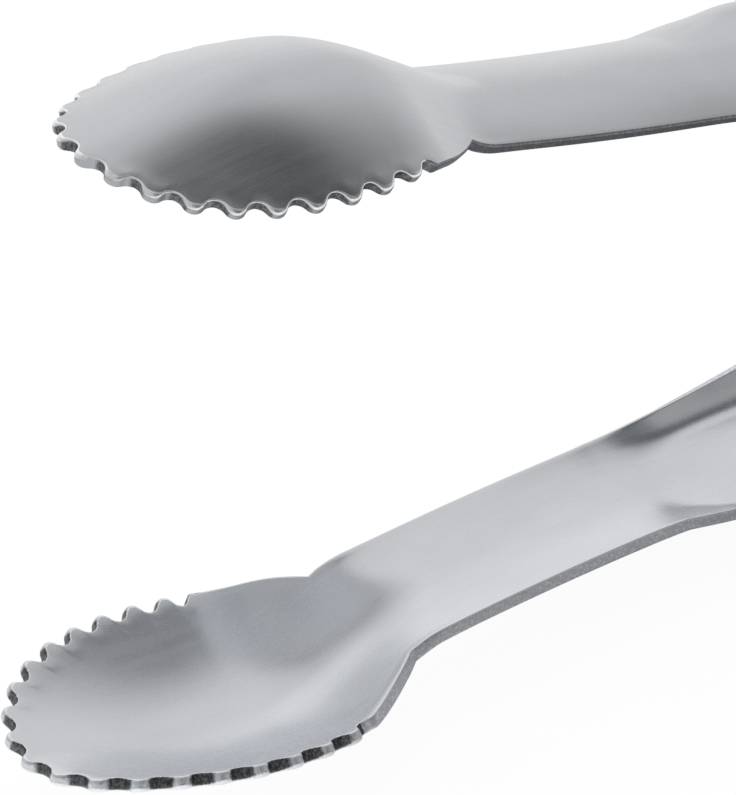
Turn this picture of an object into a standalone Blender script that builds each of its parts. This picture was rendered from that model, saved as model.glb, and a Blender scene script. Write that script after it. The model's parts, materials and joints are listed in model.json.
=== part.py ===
"""Serving tongs: two stamped steel arms with scalloped bowls, a sprung pivot and a pull lock.

Frame of the pair, used by every function below: the pivot axis is Y through the origin, the tips
point towards -X and Z = 0 is the plane midway between the open arms. The upper arm is drawn on the
+Z side, as the middle surface of its sheet, and the lower arm is the same stamping turned half
round X, with plain ears in place of the hooked ones.

The empty "tongs" tips the pair until the bottom of the lower bowl and the flat back of the lower
arm stand on Z = 0, with the origin under the middle of the whole object. Lengths are in metres.
"""

import math

import bmesh
import bpy
import numpy as np

# Sheet and fits
sheet = 0.0012
clearance = 0.0003
overrun = 0.005
merge_distance = 0.00001

# Arm: lengths along X from the corner where the bowl meets the neck
reach = 0.145
neck_length = 0.0353
shoulder_length = 0.0185
neck_half_width = 0.0089
handle_half_width = 0.0109

# Heights above the middle plane, to the middle of the sheet
bowl_rim_height = 0.03246
neck_end_edge_height = 0.0236
neck_crown = 0.0021
shoulder_crown = 0.0005
shoulder_crown_length = 0.016
crest_start = 0.0022
back_height_at_pivot = 0.011

# Bowl outline through the roots of the gaps
bowl_centre = 0.0195
bowl_half_width = 0.01515
bowl_front = 0.0213
bowl_rear = 0.0242
bowl_depth = 0.00595
bowl_fillet = 0.0039
tip_curl = 0.0019
tip_curl_length = 0.0172
rear_dip_length = 0.0126
rear_dip_middle = 0.0018
rear_dip_edge = 0.0026
rear_inset = 0.0001
notch_radius = 0.0008
neck_fade_radius = 0.025

# Teeth
teeth_pitch = 0.00405
teeth_depth = 0.00125
gaps_per_side = 10
teeth_fade_length = 0.015

# Channel of the handle
front_corner_radius = 0.004
rear_corner_radius = 0.0025
channel_rise = 0.0007
pad_front = 0.025
arm_end = 0.020
ear_front = 0.024
ear_full = 0.007
joggle_start = 0.036
joggle_end = 0.026
rear_corner = 0.006

# Pivot, lock and spring
closing_angle = math.radians(19.9)
pivot_radius = 0.0016
rivet_head_radius = 0.0032
rivet_head_height = 0.0013
boss_radius = 0.0048
lock_pin_radius = 0.0014
lock_in = 0.0065
lock_travel = 0.009
lock_pin_overhang = 0.0008
hook_root_width = 0.0004
barrel_wall = 0.001
tab_half_width = 0.007
tab_length = 0.029
tab_sheet = 0.0012
hang_hole_radius = 0.0036
wire_radius = 0.0006
spring_turns = 4
coil_gap = 0.00045
spring_leg_reach = 0.022

# Slopes and shares
neck_slope_share = 0.100
neck_bend_share = 0.0413
shoulder_lift_share = 0.0117
handle_slope_share = 0.2325
dome_round_share = 0.16
rim_flare_share = 0.8
focus_share = 0.21
crest_share = 0.26
kink_round_share = 0.12
channel_start_angle = math.radians(52)
channel_start_slope_share = 0.105
last_flank_share = 0.3
head_round_shares = ((0.0, 1.0), (0.5, 0.88), (0.85, 0.6), (1.0, 0.45), (1.0, 0.0))
leg_point_shares = (0.33, 0.67, 1.0)
rows = 9
points_per_half_tooth = 4
rear_intervals = 5


def smooth(share):
    """Ease from 0 to 1 as the share does, level at both ends."""
    share = np.clip(share, 0.0, 1.0)
    return share * share * (3.0 - 2.0 * share)


def higher(first, second, fillet):
    """The higher of two surfaces, with a fillet of about this height where they cross."""
    share = np.clip(0.5 + 0.5 * (first - second) / fillet, 0.0, 1.0)
    return second * (1.0 - share) + first * share + fillet * share * (1.0 - share)


def rim_point(angle):
    """Root curve of the gaps in plan: two quarter ellipses, from the neck at 0 to the tip at pi."""
    run = np.where(np.cos(angle) > 0.0, bowl_rear, bowl_front)
    return run * np.cos(angle) - bowl_centre, bowl_half_width * np.sin(angle)


def rim_angle_at_neck():
    """Angle of the root curve where it reaches the neck."""
    return math.acos(bowl_centre / bowl_rear)


def rim_by_length(lengths):
    """Angles on the root curve at these arc lengths from the tip, and its length to the neck."""
    angles = np.linspace(math.pi, rim_angle_at_neck(), 721)
    along, across = rim_point(angles)
    steps = np.hypot(np.diff(along), np.diff(across))
    travelled = np.concatenate([[0.0], np.cumsum(steps)])
    return np.interp(lengths, travelled, angles), travelled[-1]


def neck_edge_height(along):
    """Height of the neck's edge: a shallow bend that steepens towards the bowl and fades under it."""
    back = neck_length - np.maximum(along, 0.0)
    under = np.minimum(along, 0.0)
    height = neck_end_edge_height + neck_slope_share * back + neck_bend_share * back * back / neck_length
    slope = neck_slope_share + 2.0 * neck_bend_share
    return height - slope * under - under * under / (2.0 * neck_fade_radius)


def bowl_height(along, across):
    """Middle surface of the dished bowl: a flat rim, curled up at the tip, under a low dome."""
    run = np.where(along < -bowl_centre, bowl_front, bowl_rear)
    inside = 1.0 - ((along + bowl_centre) / run) ** 2 - (across / bowl_half_width) ** 2
    inside = np.where(inside < 0.0, rim_flare_share * inside, inside)
    dome = bowl_depth * ((1.0 - dome_round_share) * inside + dome_round_share * inside * np.abs(inside))
    tip_start = bowl_centre + bowl_front - tip_curl_length
    curl = np.clip((-along - tip_start) / tip_curl_length, 0.0, None) ** 3
    dip = np.clip(1.0 + along / rear_dip_length, 0.0, None) ** 2
    edge = 2.0 * across ** 2 / (across ** 2 + neck_half_width ** 2)
    return bowl_rim_height + dome + tip_curl * curl - dip * (rear_dip_middle + rear_dip_edge * edge)


def crown_height(along, share):
    """Rise of the neck over its edges, which grows fuller towards the shoulder."""
    fuller = shoulder_crown * smooth(1.0 + (along - neck_length) / shoulder_crown_length)
    return neck_crown * (1.0 - share ** 2) + fuller * (1.0 - share ** 6)


def front_height(along, across):
    """Middle surface of the bowl and the crowned neck, with the fillet between them."""
    crown = crown_height(along, across / neck_half_width)
    return higher(bowl_height(along, across), neck_edge_height(along) + crown, bowl_fillet)


def neck_width(along):
    """Half width of the neck, which starts from the end of the bowl's outline."""
    corner = bowl_half_width * math.sin(rim_angle_at_neck())
    return flared_width(along) + (corner - neck_half_width) * (1.0 - smooth(along / neck_half_width))


def flared_width(along):
    """Half width of neck and handle: it flares past the neck, from a rounded kink."""
    share = (along - neck_length) / shoulder_length
    share = 0.5 * (share + np.sqrt(share ** 2 + kink_round_share ** 2))
    return neck_half_width + (handle_half_width - neck_half_width) * (1.0 - np.maximum(1.0 - share, 0.0) ** 2)


def outside_tangent():
    """Slope of the line from the back of the handle that just touches the outside of the bowl."""
    along = np.linspace(-bowl_centre - bowl_front, 0.0, 400)
    outside = front_height(along, np.zeros_like(along)) + sheet / 2
    return float(np.max((outside - back_height_at_pivot - sheet / 2) / (reach - along)))


pad_slope = outside_tangent()
tilt = math.atan(pad_slope)


def back_height(x):
    """Middle of the back along the handle: straight over the rear, a cubic ahead of it."""
    start = neck_length + shoulder_length - reach
    rear = -pad_front
    start_height = neck_edge_height(neck_length) + neck_crown + channel_rise
    start_height -= channel_start_slope_share * shoulder_length
    rear_height = back_height_at_pivot + pad_slope * pad_front
    span = rear - start
    share = np.clip((x - start) / span, 0.0, 1.0)
    ahead = np.minimum(x - start, 0.0)
    cubic = start_height * (1.0 - smooth(share)) + rear_height * smooth(share)
    cubic -= channel_start_slope_share * span * share * (1.0 - share) ** 2
    cubic += pad_slope * span * share ** 2 * (1.0 - share)
    return cubic - channel_start_slope_share * ahead - pad_slope * np.maximum(x - rear, 0.0)


def edge_height(x, ear_depth):
    """Height of the channel's edge: level past the shoulder, then falling, then down the ear."""
    past = np.maximum(x + reach - neck_length, 0.0)
    bend = np.minimum(past, shoulder_length)
    fall = (shoulder_lift_share + handle_slope_share) * bend * bend / (2.0 * shoulder_length)
    height = neck_edge_height(neck_length) + shoulder_lift_share * bend - fall
    height -= handle_slope_share * np.maximum(past - shoulder_length, 0.0)
    ear = smooth((x + ear_front) / (ear_front - ear_full))
    rear_ear = boss_radius + (ear_depth - boss_radius) * smooth(x / boss_radius)
    return height * (1.0 - ear) - rear_ear * ear


def channel_width(x, ear_half_width):
    """Half width of the channel, joggled at the rear to the width of its ears."""
    joggle = smooth((x + joggle_start) / (joggle_start - joggle_end))
    return flared_width(x + reach) - (handle_half_width - ear_half_width) * joggle


def channel_section(half_width, back, edge, corner_angle, radius):
    """Half section from the spine to the edge: a flat, a corner arc and a straight wall."""
    wall = (back - edge - radius * (1.0 - math.cos(corner_angle))) / math.sin(corner_angle)
    flat = half_width - radius * math.sin(corner_angle) - wall * math.cos(corner_angle)
    flat_rows, corner_rows = 3, 4
    points = [(flat * row / flat_rows, back) for row in range(flat_rows)]
    for row in range(corner_rows + 1):
        turn = corner_angle * row / corner_rows
        points.append((flat + radius * math.sin(turn), back - radius * (1.0 - math.cos(turn))))
    foot = points[-1]
    middle = ((foot[0] + half_width) / 2.0, (foot[1] + edge) / 2.0)
    return points + [middle, (half_width, edge)]


def handle_rows(x, ear_half_width, ear_depth):
    """Half section of the arm at X, from the spine to the edge, as (x, y, z) rows."""
    along = x + reach
    shares = np.arange(rows + 1) / rows
    if along <= neck_length:
        across = neck_width(along) * shares
        return [(x, y, float(front_height(along, y))) for y in across]
    half_width = float(channel_width(x, ear_half_width))
    back = float(back_height(x))
    edge = float(edge_height(x, ear_depth))
    past = (along - neck_length - crest_start) / (shoulder_length * crest_share)
    opened = math.sin(min(max(past, 0.0), 1.0) * math.pi / 2.0)
    neck_back = neck_edge_height(neck_length) + crown_height(along, 0.0)
    neck_back -= neck_slope_share * (along - neck_length)
    back = back * opened + neck_back * (1.0 - opened)
    steep = float(smooth((along - neck_length) / (2.0 * shoulder_length)))
    corner_angle = channel_start_angle + (math.pi / 2.0 - channel_start_angle) * steep
    rearward = float(smooth((x + 2.0 * joggle_start) / joggle_start))
    radius = front_corner_radius + (rear_corner_radius - front_corner_radius) * rearward
    channel = channel_section(half_width, back, edge, corner_angle, radius)
    fullness = crown_height(along, shares) / crown_height(along, 0.0)
    crowned = [(half_width * s, edge + (back - edge) * full) for s, full in zip(shares, fullness)]
    return [(x, c[0] * opened + n[0] * (1.0 - opened), c[1] * opened + n[1] * (1.0 - opened))
            for c, n in zip(channel, crowned)]


def bowl_stations():
    """Arc lengths from the tip of the bowl's ribs: two a tooth, then the plain rear edge."""
    toothed = teeth_pitch / 2.0 * np.arange(2 * gaps_per_side)
    _, length = rim_by_length(0.0)
    plain = np.linspace(toothed[-1], length, rear_intervals + 1)[1:]
    return np.concatenate([toothed, plain])


def tooth_wave(turns):
    """Run and height of a wave of round teeth and gaps, both as shares of a pitch and of the depth.

    Teeth and gaps are arcs of one radius that meet where their flanks are steepest."""
    steepest = 2.0 * math.atan(2.0 * teeth_depth / teeth_pitch)
    middle = np.round(2.0 * turns) / 2.0
    swing = 4.0 * (turns - middle) * steepest
    run = middle + np.sin(swing) / (4.0 * math.sin(steepest))
    lean = 0.5 * (np.cos(swing) - math.cos(steepest)) / (1.0 - math.cos(steepest))
    is_tooth = np.isclose(middle, np.round(middle))
    return run, np.where(is_tooth, 0.5 + lean, 0.5 - lean)


def outline_offset(length):
    """Place along the root curve and distance out of it: the teeth, then the plain rear edge."""
    run, wave = tooth_wave(length / teeth_pitch)
    past = length / teeth_pitch - gaps_per_side + 0.5
    wave = np.where(past > 0.0, smooth(past / last_flank_share), wave)
    _, end = rim_by_length(0.0)
    plain = end / teeth_pitch - gaps_per_side + 0.5
    place = np.where(past > 0.0, length, run * teeth_pitch)
    along, _ = rim_point(rim_by_length(place)[0])
    fade = smooth(-along / teeth_fade_length)
    return place, teeth_depth * fade * wave - rear_inset * smooth(past / plain)


def outline_point(length):
    """Point of the toothed outline at an arc length from the tip, in plan."""
    place, offset = outline_offset(length)
    angle, _ = rim_by_length(place)
    along, across = rim_point(angle)
    run = np.where(np.cos(angle) > 0.0, bowl_rear, bowl_front)
    normal = np.array([np.cos(angle) / run, np.sin(angle) / bowl_half_width])
    normal /= np.linalg.norm(normal)
    return along + offset * normal[0], across + offset * normal[1]


def bowl_ray(length):
    """Rows of the bowl from the spine towards the root curve, without the outline's own point."""
    angle, _ = rim_by_length(length)
    along, across = rim_point(angle)
    start = (1.0 + math.cos(angle)) / (1.0 + math.cos(rim_angle_at_neck()))
    focus = -bowl_centre - focus_share * bowl_front
    spine = focus * (1.0 - start)
    return [(spine + (along - spine) * row / rows, across * row / rows) for row in range(rows)]


def arm_stations():
    """X of the arm's cross sections, from the bowl's end to the rear end."""
    neck = np.linspace(notch_radius, neck_length, 8) - reach
    shoulder = np.linspace(neck_length + crest_start, neck_length + shoulder_length, 11) - reach
    handle = np.linspace(shoulder[-1], -joggle_start, 6)[1:]
    ears = np.linspace(-joggle_start, -ear_full, 9)[1:]
    rear = np.linspace(-ear_full, arm_end, 5)[1:]
    return np.concatenate([neck, shoulder, handle, ears, rear])


def arm_surface(name, ear_half_width, ear_depth):
    """Half of an arm's middle surface, as a loft from the tip over the bowl to the rear end."""
    bm = bmesh.new()

    def lifted(along, across):
        return bm.verts.new((along - reach, across, float(front_height(along, across))))

    stations = bowl_stations()
    rays = [[lifted(*point) for point in bowl_ray(length)] for length in stations]
    outline = []
    for start, end in zip(stations[:-1], stations[1:]):
        shares = np.arange(points_per_half_tooth) / points_per_half_tooth
        outline += [lifted(*outline_point(start + (end - start) * share)) for share in shares]
    outline.append(lifted(*outline_point(stations[-1])))
    for index in range(len(rays) - 1):
        near, far = rays[index], rays[index + 1]
        for row in range(rows - 1):
            bm.faces.new((near[row], near[row + 1], far[row + 1], far[row]))
        edge = outline[index * points_per_half_tooth:(index + 1) * points_per_half_tooth + 1]
        half = points_per_half_tooth // 2
        for step in range(half):
            bm.faces.new((near[-1], edge[step], edge[step + 1]))
            bm.faces.new((far[-1], edge[half + step], edge[half + step + 1]))
        bm.faces.new((near[-1], edge[half], far[-1]))
    last = rays[-1] + [outline[-1]]
    for x in arm_stations():
        section = [bm.verts.new(point) for point in handle_rows(x, ear_half_width, ear_depth)]
        for row in range(rows):
            bm.faces.new((last[row], last[row + 1], section[row + 1], section[row]))
        last = section
    bmesh.ops.recalc_face_normals(bm, faces=bm.faces)
    if sum(face.normal.z for face in bm.faces) < 0.0:
        bmesh.ops.reverse_faces(bm, faces=bm.faces)
    mesh = bpy.data.meshes.new(name)
    bm.to_mesh(mesh)
    bm.free()
    return mesh


def arc(centre, radius, start, end, steps):
    """Points on an arc in the XZ plane, angles in degrees from +X towards +Z."""
    angles = np.radians(np.linspace(start, end, steps + 1))
    return [(centre[0] + radius * math.cos(a), centre[1] + radius * math.sin(a)) for a in angles]


def prism(name, outline, half_length, collection):
    """Solid with this XZ outline, standing across Y from side to side."""
    bm = bmesh.new()
    verts = [bm.verts.new((x, -half_length, z)) for x, z in outline]
    face = bm.faces.new(verts)
    moved = bmesh.ops.extrude_face_region(bm, geom=[face])
    moved_verts = [item for item in moved["geom"] if isinstance(item, bmesh.types.BMVert)]
    bmesh.ops.translate(bm, verts=moved_verts, vec=(0.0, 2.0 * half_length, 0.0))
    bmesh.ops.recalc_face_normals(bm, faces=bm.faces)
    return add_object(name, bm, collection)


def rod(name, radius, half_length, collection, sides=20, at=(0.0, 0.0)):
    """Cylinder along Y, centred on the XZ point."""
    bm = bmesh.new()
    bmesh.ops.create_cone(bm, cap_ends=True, segments=sides, radius1=radius, radius2=radius,
                          depth=2.0 * half_length)
    turn_to_y(bm)
    bmesh.ops.translate(bm, verts=bm.verts, vec=(at[0], 0.0, at[1]))
    return add_object(name, bm, collection)


def turn_to_y(bm):
    """Lay a shape that stands along Z down along Y."""
    for vert in bm.verts:
        vert.co = (vert.co.x, -vert.co.z, vert.co.y)


def add_object(name, bm, collection):
    """Turn a bmesh into an object of the collection."""
    mesh = bpy.data.meshes.new(name)
    bm.to_mesh(mesh)
    bm.free()
    item = bpy.data.objects.new(name, mesh)
    collection.objects.link(item)
    return item


def cut(item, cutter):
    """Take the cutter's shape out of the item."""
    modifier = item.modifiers.new(cutter.name, "BOOLEAN")
    modifier.operation = "DIFFERENCE"
    modifier.solver = "EXACT"
    modifier.object = cutter
    cutter.parent = item
    cutter.hide_render = True
    cutter.display_type = "WIRE"


def join(item, other):
    """Unite another shape with the item."""
    modifier = item.modifiers.new(other.name, "BOOLEAN")
    modifier.operation = "UNION"
    modifier.solver = "EXACT"
    modifier.object = other
    other.parent = item
    other.hide_render = True
    other.display_type = "WIRE"


def steel(name, shade, roughness):
    """Steel material of one part."""
    material = bpy.data.materials.new(name)
    material.use_nodes = True
    shader = material.node_tree.nodes["Principled BSDF"]
    shader.inputs["Base Color"].default_value = (shade, shade, shade * 1.02, 1.0)
    shader.inputs["Metallic"].default_value = 1.0
    shader.inputs["Roughness"].default_value = roughness
    return material


def shade(item, material):
    """Give an object its material and smooth shading with sharp folds."""
    item.data.materials.append(material)
    item.data.shade_smooth()
    item.data.set_sharp_from_angle(angle=math.radians(35))


def rear_trim(ear_bottom_radius, ear_depth):
    """Outline of what is cut off behind the arm's rounded rear end."""
    top = float(back_height(arm_end - rear_corner)) + sheet / 2
    limit = arm_end + overrun
    above = top + overrun
    below = -ear_depth - overrun
    upper = arc((arm_end - rear_corner, top - rear_corner), rear_corner, 90, 0, 6)
    lower = arc((arm_end - ear_bottom_radius, -ear_depth + ear_bottom_radius), ear_bottom_radius, 0, -90, 6)
    return [(arm_end - rear_corner, above)] + upper + lower + [
        (arm_end - ear_bottom_radius, below), (limit, below), (limit, above)]


def hook_opening(ear_depth):
    """Outline of the slot behind the upper arm's pivot, open below ahead of the hook.

    With the tongs open the lock pin slides along the middle of the slot. As they close it leaves the
    slot downwards, and pulled back from there it lies under the hook, which it keeps from rising.
    """
    hole = lock_pin_radius + clearance
    lock_out = lock_in + lock_travel
    floor = -ear_depth - overrun
    down = np.array([math.cos(closing_angle), -math.sin(closing_angle)])
    aside = np.array([math.sin(closing_angle), math.cos(closing_angle)]) * hole
    tip_radius = (hole + hook_root_width) / math.tan(closing_angle / 2.0)
    tip = down * tip_radius + aside
    root = down * (lock_out + hole) + aside
    return (arc((lock_in, 0.0), hole, 180, 90, 4) + arc((lock_out, 0.0), hole, 90, -90, 8)
            + [(tip_radius, -hole), tuple(tip), tuple(root), (root[0], floor), (0.0, floor)]
            + arc((0.0, 0.0), boss_radius, -90, -15, 6))


def make_arm(name, ear_half_width, ear_depth, hooked, collection, cutters, material):
    """One stamped arm: a mirrored loft, thickened to the sheet, then pierced and trimmed."""
    item = bpy.data.objects.new(name, arm_surface(name, ear_half_width, ear_depth))
    collection.objects.link(item)
    mirror = item.modifiers.new("Halves", "MIRROR")
    mirror.use_axis = (False, True, False)
    mirror.merge_threshold = merge_distance
    shell = item.modifiers.new("Sheet", "SOLIDIFY")
    shell.thickness = sheet
    shell.offset = 0.0
    shell.use_even_offset = True
    width = handle_half_width + overrun
    corner = ear_depth if not hooked else hook_root_width * 2.0
    cut(item, prism(name + ".rear", rear_trim(corner, ear_depth), width, cutters))
    cut(item, rod(name + ".pivot", pivot_radius + clearance, width, cutters))
    if hooked:
        cut(item, prism(name + ".hook", hook_opening(ear_depth), width, cutters))
    else:
        hole = lock_pin_radius + clearance
        ends = arc((lock_in, 0.0), hole, 270, 90, 8) + arc((lock_in + lock_travel, 0.0), hole, 90, -90, 8)
        cut(item, prism(name + ".slot", ends, width, cutters))
    shade(item, material)
    return item


def make_pivot(collection, material):
    """Solid rivet: a shank with a low domed head formed on each side."""
    outer = handle_half_width + sheet / 2 + clearance
    profile = [(rivet_head_radius * wide, outer + rivet_head_height * high)
               for wide, high in head_round_shares]
    profile.append((pivot_radius, outer))
    profile += [(radius, -height) for radius, height in reversed(profile)]
    bm = bmesh.new()
    verts = [bm.verts.new((radius, 0.0, height)) for radius, height in profile]
    for start, end_vert in zip(verts[:-1], verts[1:]):
        bm.edges.new((start, end_vert))
    item = add_object("pivot_rivet", bm, collection)
    turn = item.modifiers.new("Turned", "SCREW")
    turn.steps = 24
    turn.render_steps = 24
    turn.use_merge_vertices = True
    turn.merge_threshold = merge_distance
    item.rotation_euler = (math.pi / 2.0, 0.0, 0.0)
    shade(item, material)
    return item


def spring_points():
    """Centre line of the torsion spring: a leg under the lower back, the coil, a leg above."""
    radius = pivot_radius + clearance + wire_radius
    leg_depth = float(back_height(-spring_leg_reach)) - sheet / 2 - clearance - wire_radius
    leg_depth /= math.cos(math.atan(pad_slope))
    leg_depth -= wire_radius * math.sin(math.atan(pad_slope))
    far = math.hypot(spring_leg_reach, leg_depth)
    towards = math.atan2(leg_depth, -spring_leg_reach)
    leave = towards - math.acos(radius / far)
    sweep = 2.0 * math.pi * spring_turns + 2.0 * leave
    pitch = 2.0 * wire_radius + coil_gap
    width = pitch * sweep / (2.0 * math.pi)
    steps = 9 * spring_turns + 4
    points = []
    for step in range(steps + 1):
        turn = -leave + sweep * step / steps
        side = width * (step / steps - 0.5)
        points.append((radius * math.cos(turn), side, radius * math.sin(turn)))
    lower = (-spring_leg_reach, -width / 2.0, -leg_depth)
    upper = (-spring_leg_reach, width / 2.0, leg_depth)

    def leg(start, end):
        return [tuple(a + (b - a) * share for a, b in zip(start, end)) for share in leg_point_shares]

    return leg(points[0], lower)[::-1] + points + leg(points[-1], upper)


def least_gap(points):
    """Smallest clear distance between turns of the wire that don't follow each other."""
    line = np.array(points)
    finer = np.array([line[i] + (line[i + 1] - line[i]) * share
                      for i in range(len(line) - 1) for share in np.linspace(0.0, 1.0, 6)[:-1]])
    travelled = np.concatenate([[0.0], np.cumsum(np.linalg.norm(np.diff(finer, axis=0), axis=1))])
    apart = np.linalg.norm(finer[:, None] - finer[None, :], axis=2)
    follows = np.abs(travelled[:, None] - travelled[None, :]) < 2.0 * math.pi * wire_radius
    return float(np.min(np.where(follows, np.inf, apart))) - 2.0 * wire_radius


def make_spring(collection, material):
    """Wire torsion spring round the rivet's shank."""
    points = spring_points()
    print("torsion spring: least gap to itself %.3f mm" % (least_gap(points) * 1000.0))
    curve = bpy.data.curves.new("torsion_spring", "CURVE")
    curve.dimensions = "3D"
    curve.bevel_depth = wire_radius
    curve.bevel_resolution = 1
    curve.use_fill_caps = True
    line = curve.splines.new("POLY")
    line.points.add(len(points) - 1)
    for target, point in zip(line.points, points):
        target.co = (*point, 1.0)
    item = bpy.data.objects.new("torsion_spring", curve)
    collection.objects.link(item)
    curve.materials.append(material)
    return item


def make_lock_slide(collection, cutters, material):
    """Flat pull tab whose front end is curled round the lock pin, with a hole to hang it by."""
    bore = lock_pin_radius + clearance
    end = tab_length - tab_half_width
    outline = [(0.0, -tab_half_width)]
    outline += [(end + tab_half_width * math.sin(a), -tab_half_width * math.cos(a))
                for a in np.linspace(0.0, math.pi, 17)]
    outline += [(0.0, tab_half_width)]
    bm = bmesh.new()
    face = bm.faces.new([bm.verts.new((x, y, -tab_sheet / 2)) for x, y in outline])
    moved = bmesh.ops.extrude_face_region(bm, geom=[face])
    moved_verts = [part for part in moved["geom"] if isinstance(part, bmesh.types.BMVert)]
    bmesh.ops.translate(bm, verts=moved_verts, vec=(0.0, 0.0, tab_sheet))
    bmesh.ops.recalc_face_normals(bm, faces=bm.faces)
    item = add_object("lock_slide", bm, collection)
    join(item, rod("lock_slide.barrel", bore + barrel_wall, tab_half_width, cutters))
    cut(item, rod("lock_slide.bore", bore, tab_half_width + overrun, cutters))
    hole = rod("lock_slide.hole", hang_hole_radius, tab_sheet, cutters, sides=24)
    hole.location = (end, 0.0, 0.0)
    hole.rotation_euler = (math.pi / 2.0, 0.0, 0.0)
    cut(item, hole)
    item.location = (lock_in, 0.0, 0.0)
    shade(item, material)
    return item


def make_lock_pin(collection, material):
    """Cross pin of the lock, long enough to run in the slots of both lower ears."""
    half_length = handle_half_width + sheet / 2 + lock_pin_overhang
    item = rod("lock_pin", lock_pin_radius, half_length, collection, sides=16)
    bevel = item.modifiers.new("Ends", "BEVEL")
    bevel.width = lock_pin_overhang / 2
    bevel.segments = 2
    bevel.limit_method = "ANGLE"
    item.location = (lock_in, 0.0, 0.0)
    shade(item, material)
    return item


def stand(frame, items):
    """Place the tipped pair with its lowest point on Z = 0 and the origin under its middle."""
    bpy.context.view_layer.update()
    graph = bpy.context.evaluated_depsgraph_get()
    corners = []
    for item in items:
        shape = item.evaluated_get(graph)
        mesh = shape.to_mesh()
        corners += [shape.matrix_world @ vert.co for vert in mesh.vertices]
        shape.to_mesh_clear()
    cloud = np.array(corners)
    low, high = cloud.min(axis=0), cloud.max(axis=0)
    frame.location = (-(low[0] + high[0]) / 2.0, 0.0, -low[2])


def main():
    for item in list(bpy.data.objects):
        bpy.data.objects.remove(item, do_unlink=True)
    collection = bpy.data.collections.new("serving_tongs")
    cutters = bpy.data.collections.new("cutters")
    bpy.context.scene.collection.children.link(collection)
    bpy.context.scene.collection.children.link(cutters)
    frame = bpy.data.objects.new("tongs", None)
    collection.objects.link(frame)
    frame.rotation_euler = (0.0, tilt, 0.0)

    inner_ear = handle_half_width - sheet - clearance
    foot = float(back_height(arm_end)) - rear_corner_radius
    upper = make_arm("upper_arm", inner_ear, foot, True, collection, cutters, steel("upper_arm", 0.62, 0.32))
    lower = make_arm("lower_arm", handle_half_width, boss_radius, False, collection, cutters,
                     steel("lower_arm", 0.62, 0.32))
    lower.rotation_euler = (math.pi, 0.0, 0.0)
    items = [
        lower,
        upper,
        make_pivot(collection, steel("pivot_rivet", 0.6, 0.25)),
        make_spring(collection, steel("torsion_spring", 0.5, 0.3)),
        make_lock_slide(collection, cutters, steel("lock_slide", 0.62, 0.3)),
        make_lock_pin(collection, steel("lock_pin", 0.58, 0.25)),
    ]
    for item in items:
        item.parent = frame
    stand(frame, items)
    print("tilt %.3f degrees" % math.degrees(tilt))
    print("frame at x %.5f z %.5f" % (frame.location.x, frame.location.z))


main()
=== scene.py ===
"""Looks of the serving tongs: stamped steel arms with scalloped bowls, a sprung pivot, a pull lock.

Every shape is first worked out in the frame of the pair: the pivot axis is Y through the origin,
the tips point towards -X and Z = 0 lies midway between the open arms. into_world then tips it as the
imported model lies. Lengths are in metres.
"""

import json
import math

import bmesh
import bpy
import numpy as np
from bpy.props import FloatProperty, FloatVectorProperty, IntProperty, PointerProperty
from mathutils import Matrix, Vector


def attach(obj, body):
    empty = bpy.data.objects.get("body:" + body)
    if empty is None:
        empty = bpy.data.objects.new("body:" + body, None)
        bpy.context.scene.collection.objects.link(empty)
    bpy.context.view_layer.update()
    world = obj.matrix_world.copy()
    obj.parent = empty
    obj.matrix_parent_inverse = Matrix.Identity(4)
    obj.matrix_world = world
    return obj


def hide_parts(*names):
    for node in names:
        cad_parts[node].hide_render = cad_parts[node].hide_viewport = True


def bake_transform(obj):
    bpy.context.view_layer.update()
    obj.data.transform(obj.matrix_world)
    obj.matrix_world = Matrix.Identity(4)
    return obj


bl_info = {
    "name": "Serving Tongs",
    "version": (1, 0, 0),
    "blender": (4, 5, 0),
    "location": "View3D > Sidebar > Tongs",
    "description": "Builds the stamped arms, rivet, spring and pull lock of serving tongs, and their studio",
    "category": "Object",
}

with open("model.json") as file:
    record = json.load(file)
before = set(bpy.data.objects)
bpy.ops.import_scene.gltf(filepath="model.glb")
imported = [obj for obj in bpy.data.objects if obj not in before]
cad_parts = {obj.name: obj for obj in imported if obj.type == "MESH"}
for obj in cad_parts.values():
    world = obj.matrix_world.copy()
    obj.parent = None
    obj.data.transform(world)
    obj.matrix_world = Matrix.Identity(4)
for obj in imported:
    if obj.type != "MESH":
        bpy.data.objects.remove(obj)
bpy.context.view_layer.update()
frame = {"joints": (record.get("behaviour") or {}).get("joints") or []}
hinge, pull = frame["joints"]

# Arm: lengths from the corner where the bowl meets the neck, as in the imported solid
reach = 0.145
neck_length = 0.0353
shoulder_length = 0.0185
neck_half_width = 0.0089
handle_half_width = 0.0109
bowl_rim_height = 0.03246
neck_end_edge_height = 0.0236
neck_crown = 0.0021
shoulder_crown = 0.0005
shoulder_crown_length = 0.016
crest_start = 0.0002
back_height_at_pivot = 0.011

# Bowl
bowl_centre = 0.0195
bowl_half_width = 0.01515
bowl_front = 0.0213
bowl_rear = 0.0242
bowl_depth = 0.00595
bowl_fillet = 0.0039
tip_curl = 0.0019
tip_curl_length = 0.0172
rear_dip_length = 0.0126
rear_dip_middle = 0.0018
rear_dip_edge = 0.0026
rear_inset = 0.0001
notch_radius = 0.0008
kink_round = 0.0016
neck_fade_radius = 0.025
gaps_per_side = 10
teeth_fade_length = 0.015

# Channel of the handle
front_corner_radius = 0.004
rear_corner_radius = 0.0025
channel_rise = 0.0010
pad_front = 0.025
arm_end = 0.020
ear_front = 0.024
ear_full = 0.007
joggle_start = 0.036
joggle_end = 0.026
rear_corner = 0.006
overrun = 0.005

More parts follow.
